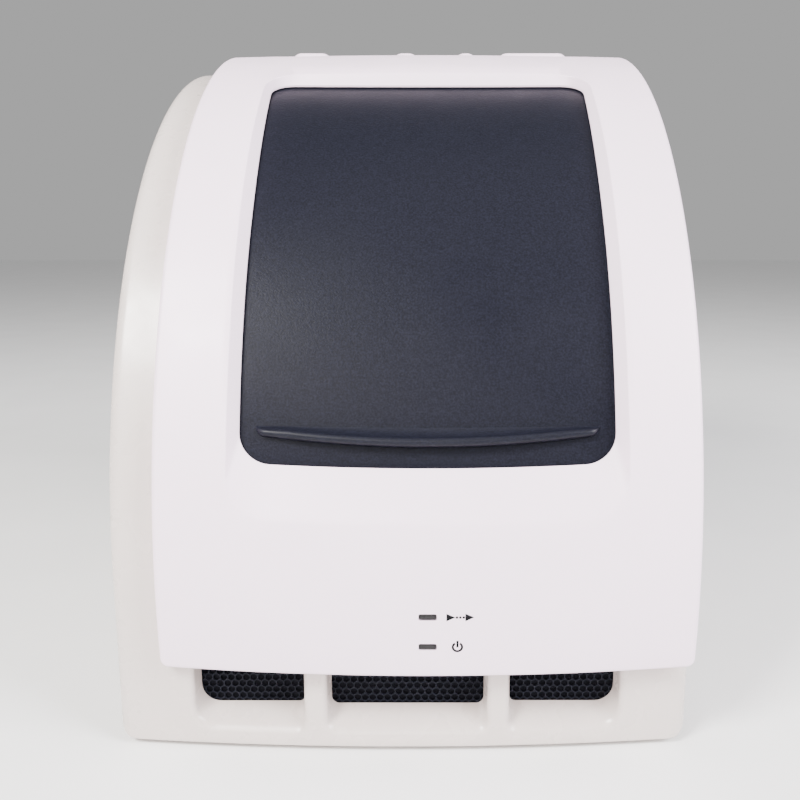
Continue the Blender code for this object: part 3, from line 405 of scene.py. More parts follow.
def show(item, slot, body, *nodes, material=None):
    """Gives a piece its material and says what it rides on and which frame nodes it stands for."""
    item.data.materials.clear()
    item.data.materials.append(material or MATERIALS[slot])
    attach(item, body)
    if nodes:
        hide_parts(*nodes)
    return item


def signed_volume(faces):
    """Six times the volume inside closed faces, negative where they point inwards."""
    total = 0.0
    for face in faces:
        first, *others = [vertex.co for vertex in face.verts]
        total += sum(first.dot(second.cross(third)) for second, third in zip(others, others[1:]))
    return total


def add_loft(builder, rings, closed=False):
    """Skins a row of loops of as many points each; closed joins the last loop to the first."""
    rows = [[builder.verts.new(point) for point in ring] for ring in rings]
    pairs = list(zip(rows, rows[1:]))
    faces = []
    if closed:
        pairs.append((rows[-1], rows[0]))
    else:
        faces.append(builder.faces.new(list(reversed(rows[0]))))
        faces.append(builder.faces.new(rows[-1]))
    for low, high in pairs:
        count = len(low)
        for index in range(count):
            after = (index + 1) % count
            faces.append(builder.faces.new((low[index], low[after], high[after], high[index])))
    if signed_volume(faces) < 0:
        bmesh.ops.reverse_faces(builder, faces=faces)


def loft(name, rings, closed=False):
    builder = bmesh.new()
    add_loft(builder, rings, closed)
    return solid(name, builder)


def add_box(builder, low, high):
    (x0, y0, z0), (x1, y1, z1) = low, high
    add_loft(builder, [[(x0, y0, z), (x1, y0, z), (x1, y1, z), (x0, y1, z)] for z in (z0, z1)])


def turns_of(count):
    return [2 * pi * step / count for step in range(count)]


def circle_about(place, axis, radius, sides):
    across = axis.orthogonal().normalized()
    along = axis.normalized().cross(across)
    return [place + across * radius * cos(turn) + along * radius * sin(turn) for turn in turns_of(sides)]


def add_turned(builder, start, axis, profile, sides):
    """A turned shape: profile is (distance along the axis, radius) pairs."""
    start = Vector(start)
    axis = Vector(axis).normalized()
    rings = [circle_about(start + axis * along, axis, radius, sides) for along, radius in profile]
    add_loft(builder, rings)


def add_rod(builder, start, end, radius):
    axis = Vector(end) - Vector(start)
    add_turned(builder, start, axis, ((0, radius), (axis.length, radius)), 24)


def add_wire(builder, points, radius, closed=False):
    """A round wire through points, each ring square to the wire."""
    rings = []
    count = len(points)
    for index, point in enumerate(points):
        before = points[(index - 1) % count] if closed or index else point
        after = points[(index + 1) % count] if closed or index < count - 1 else point
        way = Vector(after) - Vector(before)
        side = way.cross(Vector((0, 1, 0))).normalized()
        up = side.cross(way).normalized()
        ring = [side * radius * cos(turn) + up * radius * sin(turn) for turn in turns_of(8)]
        rings.append([Vector(point) + offset for offset in ring])
    add_loft(builder, rings, closed)


def built(name, shapes):
    """One mesh from a list of (function, arguments)."""
    builder = bmesh.new()
    for add, arguments in shapes:
        add(builder, *arguments)
    return solid(name, builder)


def combine(item, other, operation):
    modifier = item.modifiers.new("combine", "BOOLEAN")
    modifier.operation = operation
    modifier.object = other
    apply_modifiers(item)
    bpy.data.objects.remove(other, do_unlink=True)
    return item


def cut(item, shapes):
    return combine(item, built("tool", shapes), "DIFFERENCE")


def fuse(item, shapes):
    return combine(item, built("tool", shapes), "UNION")


# The machine's surfaces


def crown(x, middle, half, height):
    return height * max(0.0, 1 - ((x - middle) / half) ** 2)


def corner_inset(x):
    """How far the housing's rounded side edges draw in."""
    past = min(abs(x), HALF_WIDTH - EDGE_SEAM) - (HALF_WIDTH - CORNER_RADIUS)
    return CORNER_RADIUS - sqrt(CORNER_RADIUS**2 - max(0.0, past) ** 2)


def shield_point(x, arc, depth=0.0):
    """A point of the shield's outer face, or one that lies depth under it."""
    quarter = SHIELD_RADIUS * pi / 2
    ahead = crown(x, SHIELD_MID, SHIELD_HALF, SHIELD_CROWN)
    if arc <= quarter:
        angle = arc / SHIELD_RADIUS
        radius = SHIELD_RADIUS - depth
        return Vector((x, AXIS_Y - radius * cos(angle) - ahead, AXIS_Z + radius * sin(angle)))
    past = arc - quarter
    fade = 1 - past / (SHIELD_REAR - AXIS_Y)
    return Vector((x, AXIS_Y + past - ahead * fade, AXIS_Z + SHIELD_RADIUS - depth))


def height_over_housing(point):
    ahead = crown(point.x, 0.0, HALF_WIDTH, HOUSING_CROWN)
    back = AXIS_Y - point.y - ahead
    up = point.z - AXIS_Z
    radius = HOUSING_RADIUS - corner_inset(point.x)
    if up <= 0:
        return back - radius
    if back <= 0:
        return up - radius
    return sqrt(back**2 + up**2) - radius


def deepest(limit, clear):
    """The largest depth up to limit at which clear(depth) still holds."""
    low, high = 0.0, limit
    for _ in range(24):
        middle = (low + high) / 2
        if clear(middle):
            low = middle
        else:
            high = middle
    return low


def skirt_depth(x, arc):
    """How deep the shield's edge reaches before it meets the housing."""
    return deepest(40.0, lambda depth: height_over_housing(shield_point(x, arc, depth)) > SKIRT_CLEARANCE)


def door_radius(x):
    return DOOR_RADIUS - DOOR_CROWN * ((x - SHIELD_MID) / OPENING_HALF) ** 2


def rim_depth(x, arc):
    """Depth from the shield's face to a rim that clears the door by a millimetre."""
    least = door_radius(x) + RIM_GAP + RIM_WALL

    def clear(depth):
        point = shield_point(x, arc, depth)
        return sqrt((point.y - AXIS_Y) ** 2 + (point.z - AXIS_Z) ** 2) > least

    return deepest(30.0, clear)


def between(first, second, share):
    return [(a[0] + (b[0] - a[0]) * share, a[1] + (b[1] - a[1]) * share) for a, b in zip(first, second)]


def rounded_outline(half, low, high, radii, sag=0.0, spread=0.0):
    """A rounded rectangle about the shield's middle as (x, arc) points, from its lower left corner."""
    across, along, bend = 26, 60, 10
    low_radius, high_radius = radii
    sides = (
        (-half + low_radius, low + low_radius, low_radius, pi, across),
        (half - low_radius, low + low_radius, low_radius, 1.5 * pi, along),
        (half - high_radius, high - high_radius, high_radius, 0.0, across),
        (-half + high_radius, high - high_radius, high_radius, 0.5 * pi, along),
    )
    points = []
    for index, (x, y, radius, start, count) in enumerate(sides):
        for step in range(bend + 1):
            angle = start + 0.5 * pi * step / bend
            points.append((x + radius * cos(angle), y + radius * sin(angle)))
        next_x, next_y, next_radius, next_start, _ = sides[(index + 1) % 4]
        first = points[-1]
        last = (next_x + next_radius * cos(next_start), next_y + next_radius * sin(next_start))
        points += [between([first], [last], step / count)[0] for step in range(1, count)]
    middle = (low + high) / 2
    placed = []
    for x, y in points:
        share = max(0.0, (middle - y) / (middle - low)) * (1 - (x / half) ** 2)
        wider = spread * max(0.0, (y - middle) / (high - middle)) ** 2
        placed.append((SHIELD_MID + x * (1 + wider / half), y - sag * share))
    return placed


# Front shield


def eased(share, soft):
    """Rises from a level start over the first part, soft, and then in a straight line to 1."""
    if share < soft:
        return share**2 / (soft * (2 - soft))
    return (2 * share - soft) / (2 - soft)


def shield_shell():
    edge = SHIELD_EDGE
    rear = SHIELD_RADIUS * pi / 2 + SHIELD_REAR - AXIS_Y
    bottom = SHIELD_BOTTOM_ARC
    limits = (OPENING_HALF, OPENING_LOW, OPENING_HIGH)
    opening = rounded_outline(*limits, OPENING_CORNERS, OPENING_SAG, OPENING_SPREAD)
    recess = rounded_outline(RECESS_HALF, RECESS_LOW, RECESS_HIGH, RECESS_CORNERS)
    shoulder = rounded_outline(SHIELD_HALF - edge, bottom + edge, rear - edge, (2.0, 2.0))
    side = rounded_outline(SHIELD_HALF, bottom, rear, (2.0 + edge, 2.0 + edge))
    inner = SHIELD_HALF - SHIELD_WALL
    inside = rounded_outline(inner, bottom + SHIELD_WALL, rear - SHIELD_WALL, (edge, edge))

    def ring(outline, depth):
        return [shield_point(x, arc, depth(x, arc) if callable(depth) else depth) for x, arc in outline]

    def sloped(share):
        """A ring on the slope between the recess's edge, at 0, and the door opening, at 1."""
        outline = between(recess, opening, share)
        lip = [(x, arc, rim_depth(x, arc)) for x, arc in opening]
        rises = [eased(share, RECESS_SOFT) * depth for _, _, depth in lip]
        return [shield_point(x, arc, depth) for (x, arc), depth in zip(outline, rises)]

    rings = [ring(opening, lambda x, arc: rim_depth(x, arc) + RIM_WALL)]
    rings.append(ring(opening, lambda x, arc: rim_depth(x, arc) + 0.5))
    rings += [sloped(1 - 0.6 * step / 100) for step in (0, 2, 8)]
    rings += [sloped(1 - step / 14) for step in range(1, 15)]
    rings += [ring(between(recess, shoulder, step / 10), 0.0) for step in range(1, 11)]
    for turn in range(1, 7):
        angle = 0.5 * pi * turn / 6
        rings.append(ring(between(shoulder, side, sin(angle)), edge * (1 - cos(angle))))
    rings.append(ring(side, skirt_depth))
    rings.append(ring(inside, skirt_depth))
    rings.append(ring(inside, SHIELD_WALL + 2.0))
    rings += [ring(between(inside, recess, step / 5), SHIELD_WALL) for step in range(1, 6)]
    item = loft("shield_shell", rings, closed=True)
    holes = []
    for node in ("run_light_lens", "power_light_lens"):
        low, high = corners(node)
        middle = (low + high) / 2
        size = (high.x - low.x + LENS_GAP, high.z - low.z + LENS_GAP)
        holes.append((add_lozenge, (middle.x, middle.z, size, (-240.0, -200.0), 1.1)))
    cut(item, holes)
    return show(smooth(item, 30), "shield_white", "chassis", "front_shield")


def rounded_rectangle(x, y, flats, bend):
    """Points of a rounded rectangle about a middle, from its straight sides' half lengths, flats."""
    wide, tall = flats
    points = []
    for index, (side, up) in enumerate(((1, 1), (-1, 1), (-1, -1), (1, -1))):
        for step in range(6):
            angle = 0.5 * pi * (index + step / 5)
            points.append((x + side * wide + bend * cos(angle), y + up * tall + bend * sin(angle)))
    return points


def lozenge_outline(x, z, size, radius):
    """A rounded rectangle in an upright plane, as (x, z) points."""
    return rounded_rectangle(x, z, (size[0] / 2 - radius, size[1] / 2 - radius), radius)


def add_lozenge(builder, x, z, size, depths, radius):
    outline = lozenge_outline(x, z, size, radius)
    add_loft(builder, [[(px, y, pz) for px, pz in outline] for y in depths])


def shield_pads():
    """Low pads on the top of the shield, with soft sloping sides."""
    top = AXIS_Z + SHIELD_RADIUS
    for index, (middle, half) in enumerate(PADS):
        rings = [pad_ring(middle, half, 0.0, top - 1.0)]
        for step in range(13):
            share = step / 12
            z = top + PAD_TALL * sin(0.5 * pi * share)
            rings.append(pad_ring(middle, half, PAD_SLOPE * share, z))
        item = loft(f"shield_pad_{index}", rings)
        show(smooth(item), "shield_white", "chassis")


def pad_ring(middle, half, inset, z):
    """A rounded rectangle at height z, drawn in by inset."""
    flats = (half - PAD_CORNER, PAD_DEPTH_HALF - PAD_CORNER)
    return [(x, y, z) for x, y in rounded_rectangle(middle, PAD_Y, flats, PAD_CORNER - inset)]


# Main housing


def housing_ring(x, inset, rear, half=HALF_WIDTH):
    ahead = crown(x, 0.0, HALF_WIDTH, HOUSING_CROWN)
    radius = HOUSING_RADIUS - inset
    front = AXIS_Y - radius - ahead
    thickness = HALF_WIDTH - half
    corner = BASE_CORNER_RADIUS - thickness
    past = max(0.0, abs(x) - half + corner)
    base = SHELL_BOTTOM + thickness + corner - sqrt(corner**2 - past**2)
    ring = [(x, rear, base)]
    for step in range(5):
        angle = 0.5 * pi * step / 4
        y, z = front + FOOT_ROUNDING * (1 - sin(angle)), base + FOOT_ROUNDING * (1 - cos(angle))
        ring.append((x, y, z))
    for step in range(1, 16):
        ring.append((x, front, base + FOOT_ROUNDING + (AXIS_Z - base - FOOT_ROUNDING) * step / 16))
    for step in range(61):
        angle = 0.5 * pi * step / 60
        ring.append((x, AXIS_Y - radius * cos(angle) - ahead, AXIS_Z + radius * sin(angle)))
    ring.append((x, rear, AXIS_Z + radius))
    return ring


def housing_stations(half, corner):
    """Places across the width, closer together round the side edges, each with its inset."""
    turns = [0.5 * pi * step / 10 for step in range(10, 0, -1)]
    bends = [(half - corner * (1 - sin(turn)), corner * (1 - cos(turn))) for turn in turns]
    flat = half - corner
    last = half - BASE_CORNER_RADIUS - WALL
    bends += [(flat + (last - flat) * step / 4, 0.0) for step in range(4)]
    middle = [(last * (1 - step / 16), 0.0) for step in range(33)]
    return bends + middle + [(-x, inset) for x, inset in reversed(bends)]


def front_at(x):
    return AXIS_Y - HOUSING_RADIUS - crown(x, 0.0, HALF_WIDTH, HOUSING_CROWN)


class Vent:
    """One of the scooped vents: its grille's place and its lower corners' radii."""

    def __init__(self, name, left_radius, right_radius):
        low, high = corners("vent_grille_" + name)
        self.name = name
        self.middle = (low.x + high.x) / 2
        self.half = (high.x - low.x) / 2 + 0.6
        self.radii = (left_radius, right_radius)
        self.back = front_at(self.middle) + VENT_DEPTH

    def outline(self, grow, low=VENT_LOW):
        """Points of the vent's outline from the top right, clockwise, grown outwards."""
        steps = 8
        points = [(self.middle + self.half + grow, VENT_TOP + grow)]
        for side, radius in ((1, self.radii[1]), (-1, self.radii[0])):
            bend = radius + max(0.0, grow)
            centre_x = self.middle + side * (self.half + grow - bend)
            for step in range(steps + 1):
                angle = 0.5 * pi * step / steps
                along, down = (cos(angle), sin(angle)) if side == 1 else (sin(angle), cos(angle))
                points.append((centre_x + side * bend * along, low - grow + bend - bend * down))
        points.append((self.middle - self.half - grow, VENT_TOP + grow))
        return points

    def scoop_rings(self, grow, through):
        """Rings from inside the housing out to past its front face, flaring like a trumpet."""
        rings = [[(x, self.back + through, z) for x, z in self.outline(grow)]]
        stations = [(0.0, 0.0), (5.0, 0.5)]
        start = VENT_DEPTH - VENT_EDGE
        for step in range(9):
            angle = radians(80) * step / 8
            stations.append((start + VENT_EDGE * sin(angle), 1.3 + VENT_FLARE * (1 - cos(angle))))
        last_along, last_grow = stations[-1]
        stations.append((last_along + 2.0, last_grow + 9.0))
        for along, flared in stations:
            share = along / VENT_DEPTH
            ring = []
            for x, z in self.outline(grow + flared, VENT_LOW - VENT_SLOPE * along + 0.3 * flared):
                y = self.back + (front_at(x) - self.back) * share
                ring.append((x, y, z))
            rings.append(ring)
        return rings


VENTS = (Vent("left", 11.0, 3.5), Vent("middle", 4.5, 4.5), Vent("right", 3.5, 11.0))


def housing_shell():
    stations = housing_stations(HALF_WIDTH, CORNER_RADIUS)
    outer = [housing_ring(x, inset, HOUSING_REAR) for x, inset in stations]
    item = loft("housing_shell", outer)
    stations = housing_stations(HALF_WIDTH - WALL, CORNER_RADIUS - WALL)
    inner = [housing_ring(x, inset + WALL, HOUSING_REAR + 9, HALF_WIDTH - WALL) for x, inset in stations]
    hollow = loft("hollow", inner)
    cut(hollow, [(add_loft, (vent.scoop_rings(WALL, 0.0),)) for vent in VENTS])
    combine(item, hollow, "DIFFERENCE")
    bay_half, bay_bottom, bay_rear = 119, 150, 214
    bay = ((SHIELD_MID - bay_half, -260, bay_bottom), (SHIELD_MID + bay_half, bay_rear, 460))
    base_half, base_front, base_rear = 150, -186, 240
    base = ((-base_half, base_front, -10), (base_half, base_rear, SHELL_BOTTOM + WALL + 3))
    cut(item, [(add_box, bay), (add_box, base)])
    cut(item, [(add_loft, (vent.scoop_rings(0.0, 6.0),)) for vent in VENTS])
    return show(smooth(item, 32), "housing_white", "chassis", "main_housing")


def vent_meshes():
    """Hexagon mesh behind each scoop, and filter foam behind it."""
    for vent in VENTS:
        builder = bmesh.new()
        wide, top, low = vent.half + MESH_MARGIN, VENT_TOP - 2, VENT_LOW - MESH_MARGIN
        for row in range(int((top - low) / MESH_UP) + 1):
            shift = MESH_ACROSS / 2 * (row % 2)
            for column in range(int(2 * wide / MESH_ACROSS)):
                x = vent.middle - wide + MESH_ACROSS * (column + 0.5) + shift
                add_cell(builder, x, low + MESH_UP * (row + 0.5), vent.back + 0.3)
        bmesh.ops.remove_doubles(builder, verts=builder.verts, dist=0.02)
        item = solid("vent_mesh_" + vent.name, builder)
        show(item, "mesh_black", "chassis", "vent_grille_" + vent.name)
        pad_low = (vent.middle - wide, vent.back + 2.2, low)
        pad_high = (vent.middle + wide, vent.back + 8, top)
        pad = built("vent_filter_" + vent.name, [(add_box, (pad_low, pad_high))])
        show(smooth(rounded(pad, 1.5)), "mesh_black", "chassis", material=FILTER_FOAM)


def add_cell(builder, x, z, y):
    """One hexagon of the mesh: a hexagonal frame round a hole with rounded corners."""
    reach = MESH_ACROSS / 2
    corner = reach / cos(pi / 6)
    rows = []
    for depth in (y, y + MESH_THICK):
        outer, inner = [], []
        for step in range(12):
            angle = pi / 6 * step
            size = corner if step % 2 else reach
            outer.append(builder.verts.new((x + size * cos(angle), depth, z + size * sin(angle))))
            within = MESH_HOLE * (MESH_CORNER if step % 2 else 1.0)
            inner.append(builder.verts.new((x + within * cos(angle), depth, z + within * sin(angle))))
        rows.append((outer, inner))
    (front_out, front_in), (back_out, back_in) = rows
    for index in range(12):
        after = (index + 1) % 12
        builder.faces.new((front_out[index], front_out[after], front_in[after], front_in[index]))
        builder.faces.new((back_out[index], back_in[index], back_in[after], back_out[after]))
        builder.faces.new((front_in[index], front_in[after], back_in[after], back_in[index]))


# Lenses and printed symbols


def lenses():
    for node in ("run_light_lens", "power_light_lens"):
        low, high = corners(node)
        middle = (low + high) / 2
        face = low.y
        rings = []
        for inset, y in ((1.0, face), (0.45, face + 0.12), (0.0, face + 0.55), (0.0, face + 5)):
            size = (high.x - low.x - 2 * inset, high.z - low.z - 2 * inset)
            outline = lozenge_outline(middle.x, middle.z, size, 0.9 - inset * 0.5)
            rings.append([(x, y, z) for x, z in outline])
        item = smooth(loft(node.replace("_lens", "_window"), rings), 50)
        show(item, "lens_dark", "chassis", node)


def add_print(builder, outline):
    """A printed mark from (x, z) points, wrapped on the shield's face and a hair proud of it."""
    rings = []
    for lift in (-0.15, 0.12):
        rings.append([shield_point(x, z - AXIS_Z, -lift) for x, z in outline])
    add_loft(builder, rings)


def symbols():
    """Two arrows joined by three dots, and a broken ring with a bar in the break."""
    low, high = corners("run_light_lens")
    z = (low.z + high.z) / 2
    arrow_half, arrow_up, dot_radius, dot_pitch = 2.4, 2.2, 0.7, 1.85
    marks = []
    for x in (SHIELD_MID + 12.6, SHIELD_MID + 22.9):
        arrow = [(x - arrow_half, z - arrow_up), (x + arrow_half, z), (x - arrow_half, z + arrow_up)]
        marks.append((add_print, (arrow,)))
    for index in range(3):
        x = SHIELD_MID + 15.9 + dot_pitch * index
        dot = [(x + dot_radius * cos(turn), z + dot_radius * sin(turn)) for turn in turns_of(12)]
        marks.append((add_print, (dot,)))
    show(built("symbol_run", marks), "lens_dark", "chassis", material=SYMBOL_INK)
    low, high = corners("power_light_lens")
    x, z = SHIELD_MID + 16.3, (low.z + high.z) / 2
    outer, inner, bar_half, bar_low, bar_high = 3.15, 1.95, 0.6, -0.2, 3.8
    start, end = radians(122), radians(418)
    turns = [start + (end - start) * step / 28 for step in range(29)]
    ring = [(x + outer * cos(turn), z + outer * sin(turn)) for turn in turns]
    ring += [(x + inner * cos(turn), z + inner * sin(turn)) for turn in reversed(turns)]
    corner_signs = ((-1, bar_low), (1, bar_low), (1, bar_high), (-1, bar_high))
    bar = [(x + side * bar_half, z + up) for side, up in corner_signs]
    marks = [(add_print, (outline,)) for outline in (ring, bar)]
    show(built("symbol_power", marks), "lens_dark", "chassis", material=SYMBOL_INK)


# Sliding door


def on_arc(x, radius, degrees):
    angle = radians(degrees)
    return (x, AXIS_Y - radius * cos(angle), AXIS_Z + radius * sin(angle))


def door_shell():
    columns = [SHIELD_MID + DOOR_HALF * (step / 20 - 1) for step in range(41)]
    rings = []
    for step in range(73):
        degrees = DOOR_LOW + (DOOR_HIGH - DOOR_LOW) * step / 72
        face = [on_arc(x, door_radius(x), degrees) for x in columns]
        back = [on_arc(x, door_radius(x) - DOOR_WALL, degrees) for x in reversed(columns)]
        rings.append(face + back)
    item = rounded(loft("door_shell", rings), 1.0, 3, 60)
    return show(smooth(item), "door_dark", "door", "door_panel")


def door_grip():
    """A crescent lip: a soft scoop above, a rounded nose, an undercut below, and rounded ends."""
    rings = []
    ends = [1 - (1 - cos(0.5 * pi * step / 8)) * GRIP_END / GRIP_HALF for step in range(8)]
    inner = 1 - GRIP_END / GRIP_HALF
    count = 72
    middle = [inner - 2 * inner * step / count for step in range(count + 1)]
    per_degree = DOOR_RADIUS * pi / 180
    for across in ends + middle + [-end for end in reversed(ends)]:
        x = SHIELD_MID + GRIP_HALF * across
        share = max(0.0, 1 - across**2)
        past = max(0.0, abs(across) * GRIP_HALF - GRIP_HALF + GRIP_END) / GRIP_END
        cap = max(0.12, sqrt(max(0.0, 1 - past**2)))
        reach = (GRIP_REACH + GRIP_REACH_RISE * share**0.5) * cap
        drop = (GRIP_DROP + GRIP_DROP_RISE * share) * (0.35 + 0.65 * cap)
        base = door_radius(x) - GRIP_SUNK
        profile = grip_profile(reach, drop)
        rings.append([on_arc(x, base + out, GRIP_TOP - down / per_degree) for out, down in profile])
    item = smooth(loft("door_grip", rings), 60)
    return show(item, "handle_dark", "door", "door_handle")


def grip_profile(reach, drop):
    """(outwards, downwards) points of the lip's section."""
    nose = min(2.6, drop * 0.32)
    bulge = min(nose, reach * 0.45)
    ridge = reach - bulge
    points = [(0.0, -0.2)]
    for step in range(1, 9):
        share = step / 8
        points.append((ridge * share**2, (drop - 2 * nose) * share))
    for step in range(1, 13):
        angle = pi * step / 12 - 0.5 * pi
        points.append((ridge + bulge * cos(angle), drop - nose + nose * sin(angle)))
    points.append((reach * 0.3, drop - 0.1))
    points.append((0.0, drop + 0.3))
    return points


# The bay: deck, block and lid


def refined(node, slot, body, width):
    """A copy of a frame node with its sharp edges rounded."""
    item = bpy.data.objects.new(node + "_fine", frame["nodes"][node].data.copy())
    bpy.context.scene.collection.objects.link(item)
    weld = item.modifiers.new("weld", "WELD")
    weld.merge_threshold = 0.01 * MM
    rounded(item, width, 2, 40)
    return show(smooth(item), slot, body, node)


def well_places():
    """The middles of the wells, as (x, y)."""
    low, high = corners("thermal_block")
    middle = (low + high) / 2
    places = []
    for column in range(WELL_COLUMNS):
        for row in range(WELL_ROWS):
            x = middle.x + (column - (WELL_COLUMNS - 1) / 2) * WELL_PITCH
            places.append((x, middle.y + (row - (WELL_ROWS - 1) / 2) * WELL_PITCH))
    return places


def well_block():
    low, high = corners("thermal_block")
    item = built("well_block", [(add_box, (low, high))])
    rounded(item, 1.2, 3)
    profile = ((-13.0, 1.3), (-12.2, 1.7), (-0.5, 3.1), (0.0, 3.6), (0.5, 4.1))
    cut(item, [(add_turned, ((x, y, high.z), (0, 0, 1), profile, 20)) for x, y in well_places()])
    return show(smooth(item, 30), "block_metal", "chassis", "thermal_block")


def lid_plate():
    low, high = corners("lid_heater_plate")
    item = built("lid_plate", [(add_box, (low, (high.x, high.y, low.z + 4)))])
    fuse(item, [(add_box, ((low.x + 2, low.y + 2, low.z + 3), (high.x - 2, high.y - 2, high.z)))])
    rounded(item, 0.6)
    profile = ((0, 3.2), (1.6, 2.4), (12, 2.4))
    cut(item, [(add_turned, ((x, y, low.z - 1), (0, 0, 1), profile, 16)) for x, y in well_places()])
    return show(smooth(item, 30), "plate_metal", "lid", "lid_heater_plate")


def lid_grip():
    """A rounded bar on two flat arms, with its pivot pins."""
    low, high = corners("lid_handle")
    _, pivot_y, pivot_z = joint_place("lid_latch_swing")
    arm_wide, arm_low, bar_tall, pin_reach, pin_radius = 5.0, low.z + 3, 14.0, 5.5, 1.2
    shapes = []
    for side in (-1, 1):
        edge = low.x if side < 0 else high.x - arm_wide
        arm_high = (edge + arm_wide, pivot_y + 1.5, pivot_z + 3)
        shapes.append((add_box, ((edge, pivot_y - 2.0, arm_low), arm_high)))
        inner = edge + arm_wide if side < 0 else edge
        start, end = sorted((inner, inner - side * pin_reach))
        pin = ((start - 0.5, pivot_y, pivot_z), (end + 0.5, pivot_y, pivot_z), pin_radius)
        shapes.append((add_rod, pin))
    item = built("lid_grip", [(add_box, (low, (high.x, high.y, low.z + bar_tall)))])
    for shape in shapes:
        fuse(item, [shape])
    rounded(item, 0.9, 3)
    return show(smooth(item), "lid_dark", "lid_latch", "lid_handle")


# Rear and base


def screw_profile(radius):
    return ((-1.0, radius), (0.0, radius), (0.6, radius), (1.2, radius * 0.82), (1.6, radius * 0.45))


def add_screw(builder, place, axis, radius=SCREW_RADIUS):
    """The head of a pan-head screw, before its cross recess is cut."""
    add_turned(builder, place, axis, screw_profile(radius), 20)


def screws(name, places, radius=SCREW_RADIUS):
    """Screw heads that face the rear."""
    axis = Vector((0, 1, 0))
    item = built(name, [(add_screw, (place, axis, radius)) for place in places])
    arm, deep, slot_half = radius * 0.62, 0.9, 0.3
    slots = []
    for place in places:
        centre = Vector(place) + axis * 1.7
        for half in (Vector((arm, deep, slot_half)), Vector((slot_half, deep, arm))):
            slots.append((add_box, (centre - half, centre + half)))
    for index in (0, 1):
        cut(item, slots[index::2])
    return show(smooth(item), "sheet_steel", "chassis", material=SCREW_STEEL)


def rear_screws():
    low, high = corners("rear_panel")
    face = high.y
    inset = 8.0
    rows = (low.z + inset, 130.0, 220.0, 310.0, high.z - 20)
    columns = (-60.0, 0.0, 60.0, 110.0)
    places = []
    for z in rows:
        places += [(low.x + inset, face, z), (high.x - inset, face, z)]
    for x in columns:
        places += [(x, face, high.z - inset), (x, face, low.z + inset)]
    screws("rear_panel_screws", places)
    fan_low, fan_high = corners("rear_fan_frame")
    fan_middle = (fan_low + fan_high) / 2
    reach = (fan_high.x - fan_low.x) / 2 - 5
    fan_places = []
    for side, up in ((-1, -1), (1, -1), (-1, 1), (1, 1)):
        fan_places.append((fan_middle.x + side * reach, face, fan_middle.z + up * reach))
    screws("rear_fan_screws", fan_places, radius=3.0)
    inlet_low, inlet_high = corners("inlet_module")
    middle_z = (inlet_low.z + inlet_high.z) / 2
    ends = [(x, inlet_high.y, middle_z) for x in (inlet_low.x + 1.5, inlet_high.x - 1.5)]
    screws("inlet_screws", ends, radius=2.2)


def fan_guard():
    """Rings of bright wire on four spokes."""
    low, high = corners("rear_fan_guard")
    middle = (low + high) / 2
    outer = (high.x - low.x) / 2
    wire, ring_pitch = 0.9, 8.0
    y = low.y + 1.2
    shapes = []
    for index in range(5):
        radius = outer - wire - ring_pitch * index
        points = [(middle.x + radius * cos(t), y, middle.z + radius * sin(t)) for t in turns_of(64)]
        shapes.append((add_wire, (points, wire, True)))
    for index in range(4):
        angle = pi / 4 + pi / 2 * index
        way = Vector((cos(angle), 0, sin(angle)))
        centre = Vector((middle.x, y + 1.5, middle.z))
        points = [centre + way * distance for distance in (6.0, 12.0, 20.0, 30.0, outer - 1.0)]
        shapes.append((add_wire, (points, wire)))
    item = built("fan_guard_wires", shapes)
    show(smooth(item, 60), "guard_steel", "chassis", "rear_fan_guard")


def feet():
    for node in ("foot_front_left", "foot_front_right", "foot_rear_left", "foot_rear_right"):
        low, high = corners(node)
        middle = (low + high) / 2
        radius = (high.x - low.x) / 2
        profile = ((0.0, radius * 0.55), (0.4, radius * 0.6), (0.4, radius * 0.7), (0.0, radius * 0.75))
        profile += ((0.0, radius - 1.4), (0.4, radius - 0.6), (1.0, radius - 0.2), (high.z, radius))
        item = built(node + "_pad", [(add_turned, ((middle.x, middle.y, 0.0), (0, 0, 1), profile, 40))])
        show(smooth(item), "foot_rubber", "chassis", node)


def rocker_marks():
    """The generic on and off marks, a bar and a ring, on the mains rocker."""
    low, high = corners("power_rocker")
    middle = (low + high) / 2
    radius, wire, bar_half = 1.5, 0.2, 0.25
    ring_z, bar_z = middle.z - 4.5, middle.z + 5.0
    points = []
    for turn in turns_of(24):
        z = ring_z + radius * sin(turn)
        points.append((middle.x + radius * cos(turn), rocker_face(middle.z, z) - 0.05, z))
    bar_y = rocker_face(middle.z, bar_z)
    bar_low = (middle.x - bar_half, bar_y - 0.4, bar_z - radius)
    bar_high = (middle.x + bar_half, bar_y + 0.22, bar_z + radius)
    shapes = [(add_wire, (points, wire, True)), (add_box, (bar_low, bar_high))]
    white = moulded("mark_white", (0.8, 0.8, 0.78), 0.4, 0.3, 0.002)
    return show(built("rocker_marks", shapes), "rocker_black", "rocker", material=white)


def rocker_face(middle, z):
    """The y of the rocker's face at a height: flat near the middle and sloping to both ends."""
    below = middle - z
    if below > 0:
        return ROCKER_FACE + ROCKER_DIP * below / ROCKER_HALF
    return ROCKER_FACE - ROCKER_RISE * max(0.0, -below - ROCKER_FLAT) / (ROCKER_HALF - ROCKER_FLAT)


REFINED = (
    # node, rounding, body
    ("lid_cover", 1.6, "lid"),
    ("lid_bracket_left", 0.6, "chassis"),
    ("lid_bracket_right", 0.6, "chassis"),
    ("latch_keeper", 0.5, "chassis"),
    ("work_deck", 0.8, "chassis"),
    ("inlet_module", 0.5, "chassis"),
    ("power_rocker", 0.5, "rocker"),
    ("data_port", 0.3, "chassis"),
    ("lamp_housing", 0.8, "chassis"),
    ("optics_bench", 0.6, "chassis"),
    ("scan_beam", 0.4, "beam"),
    ("scan_head", 0.6, "head"),
)


def slots_by_node():
    return {part["node"]: part["material_slot"] for part in frame["record"]["subparts"]}


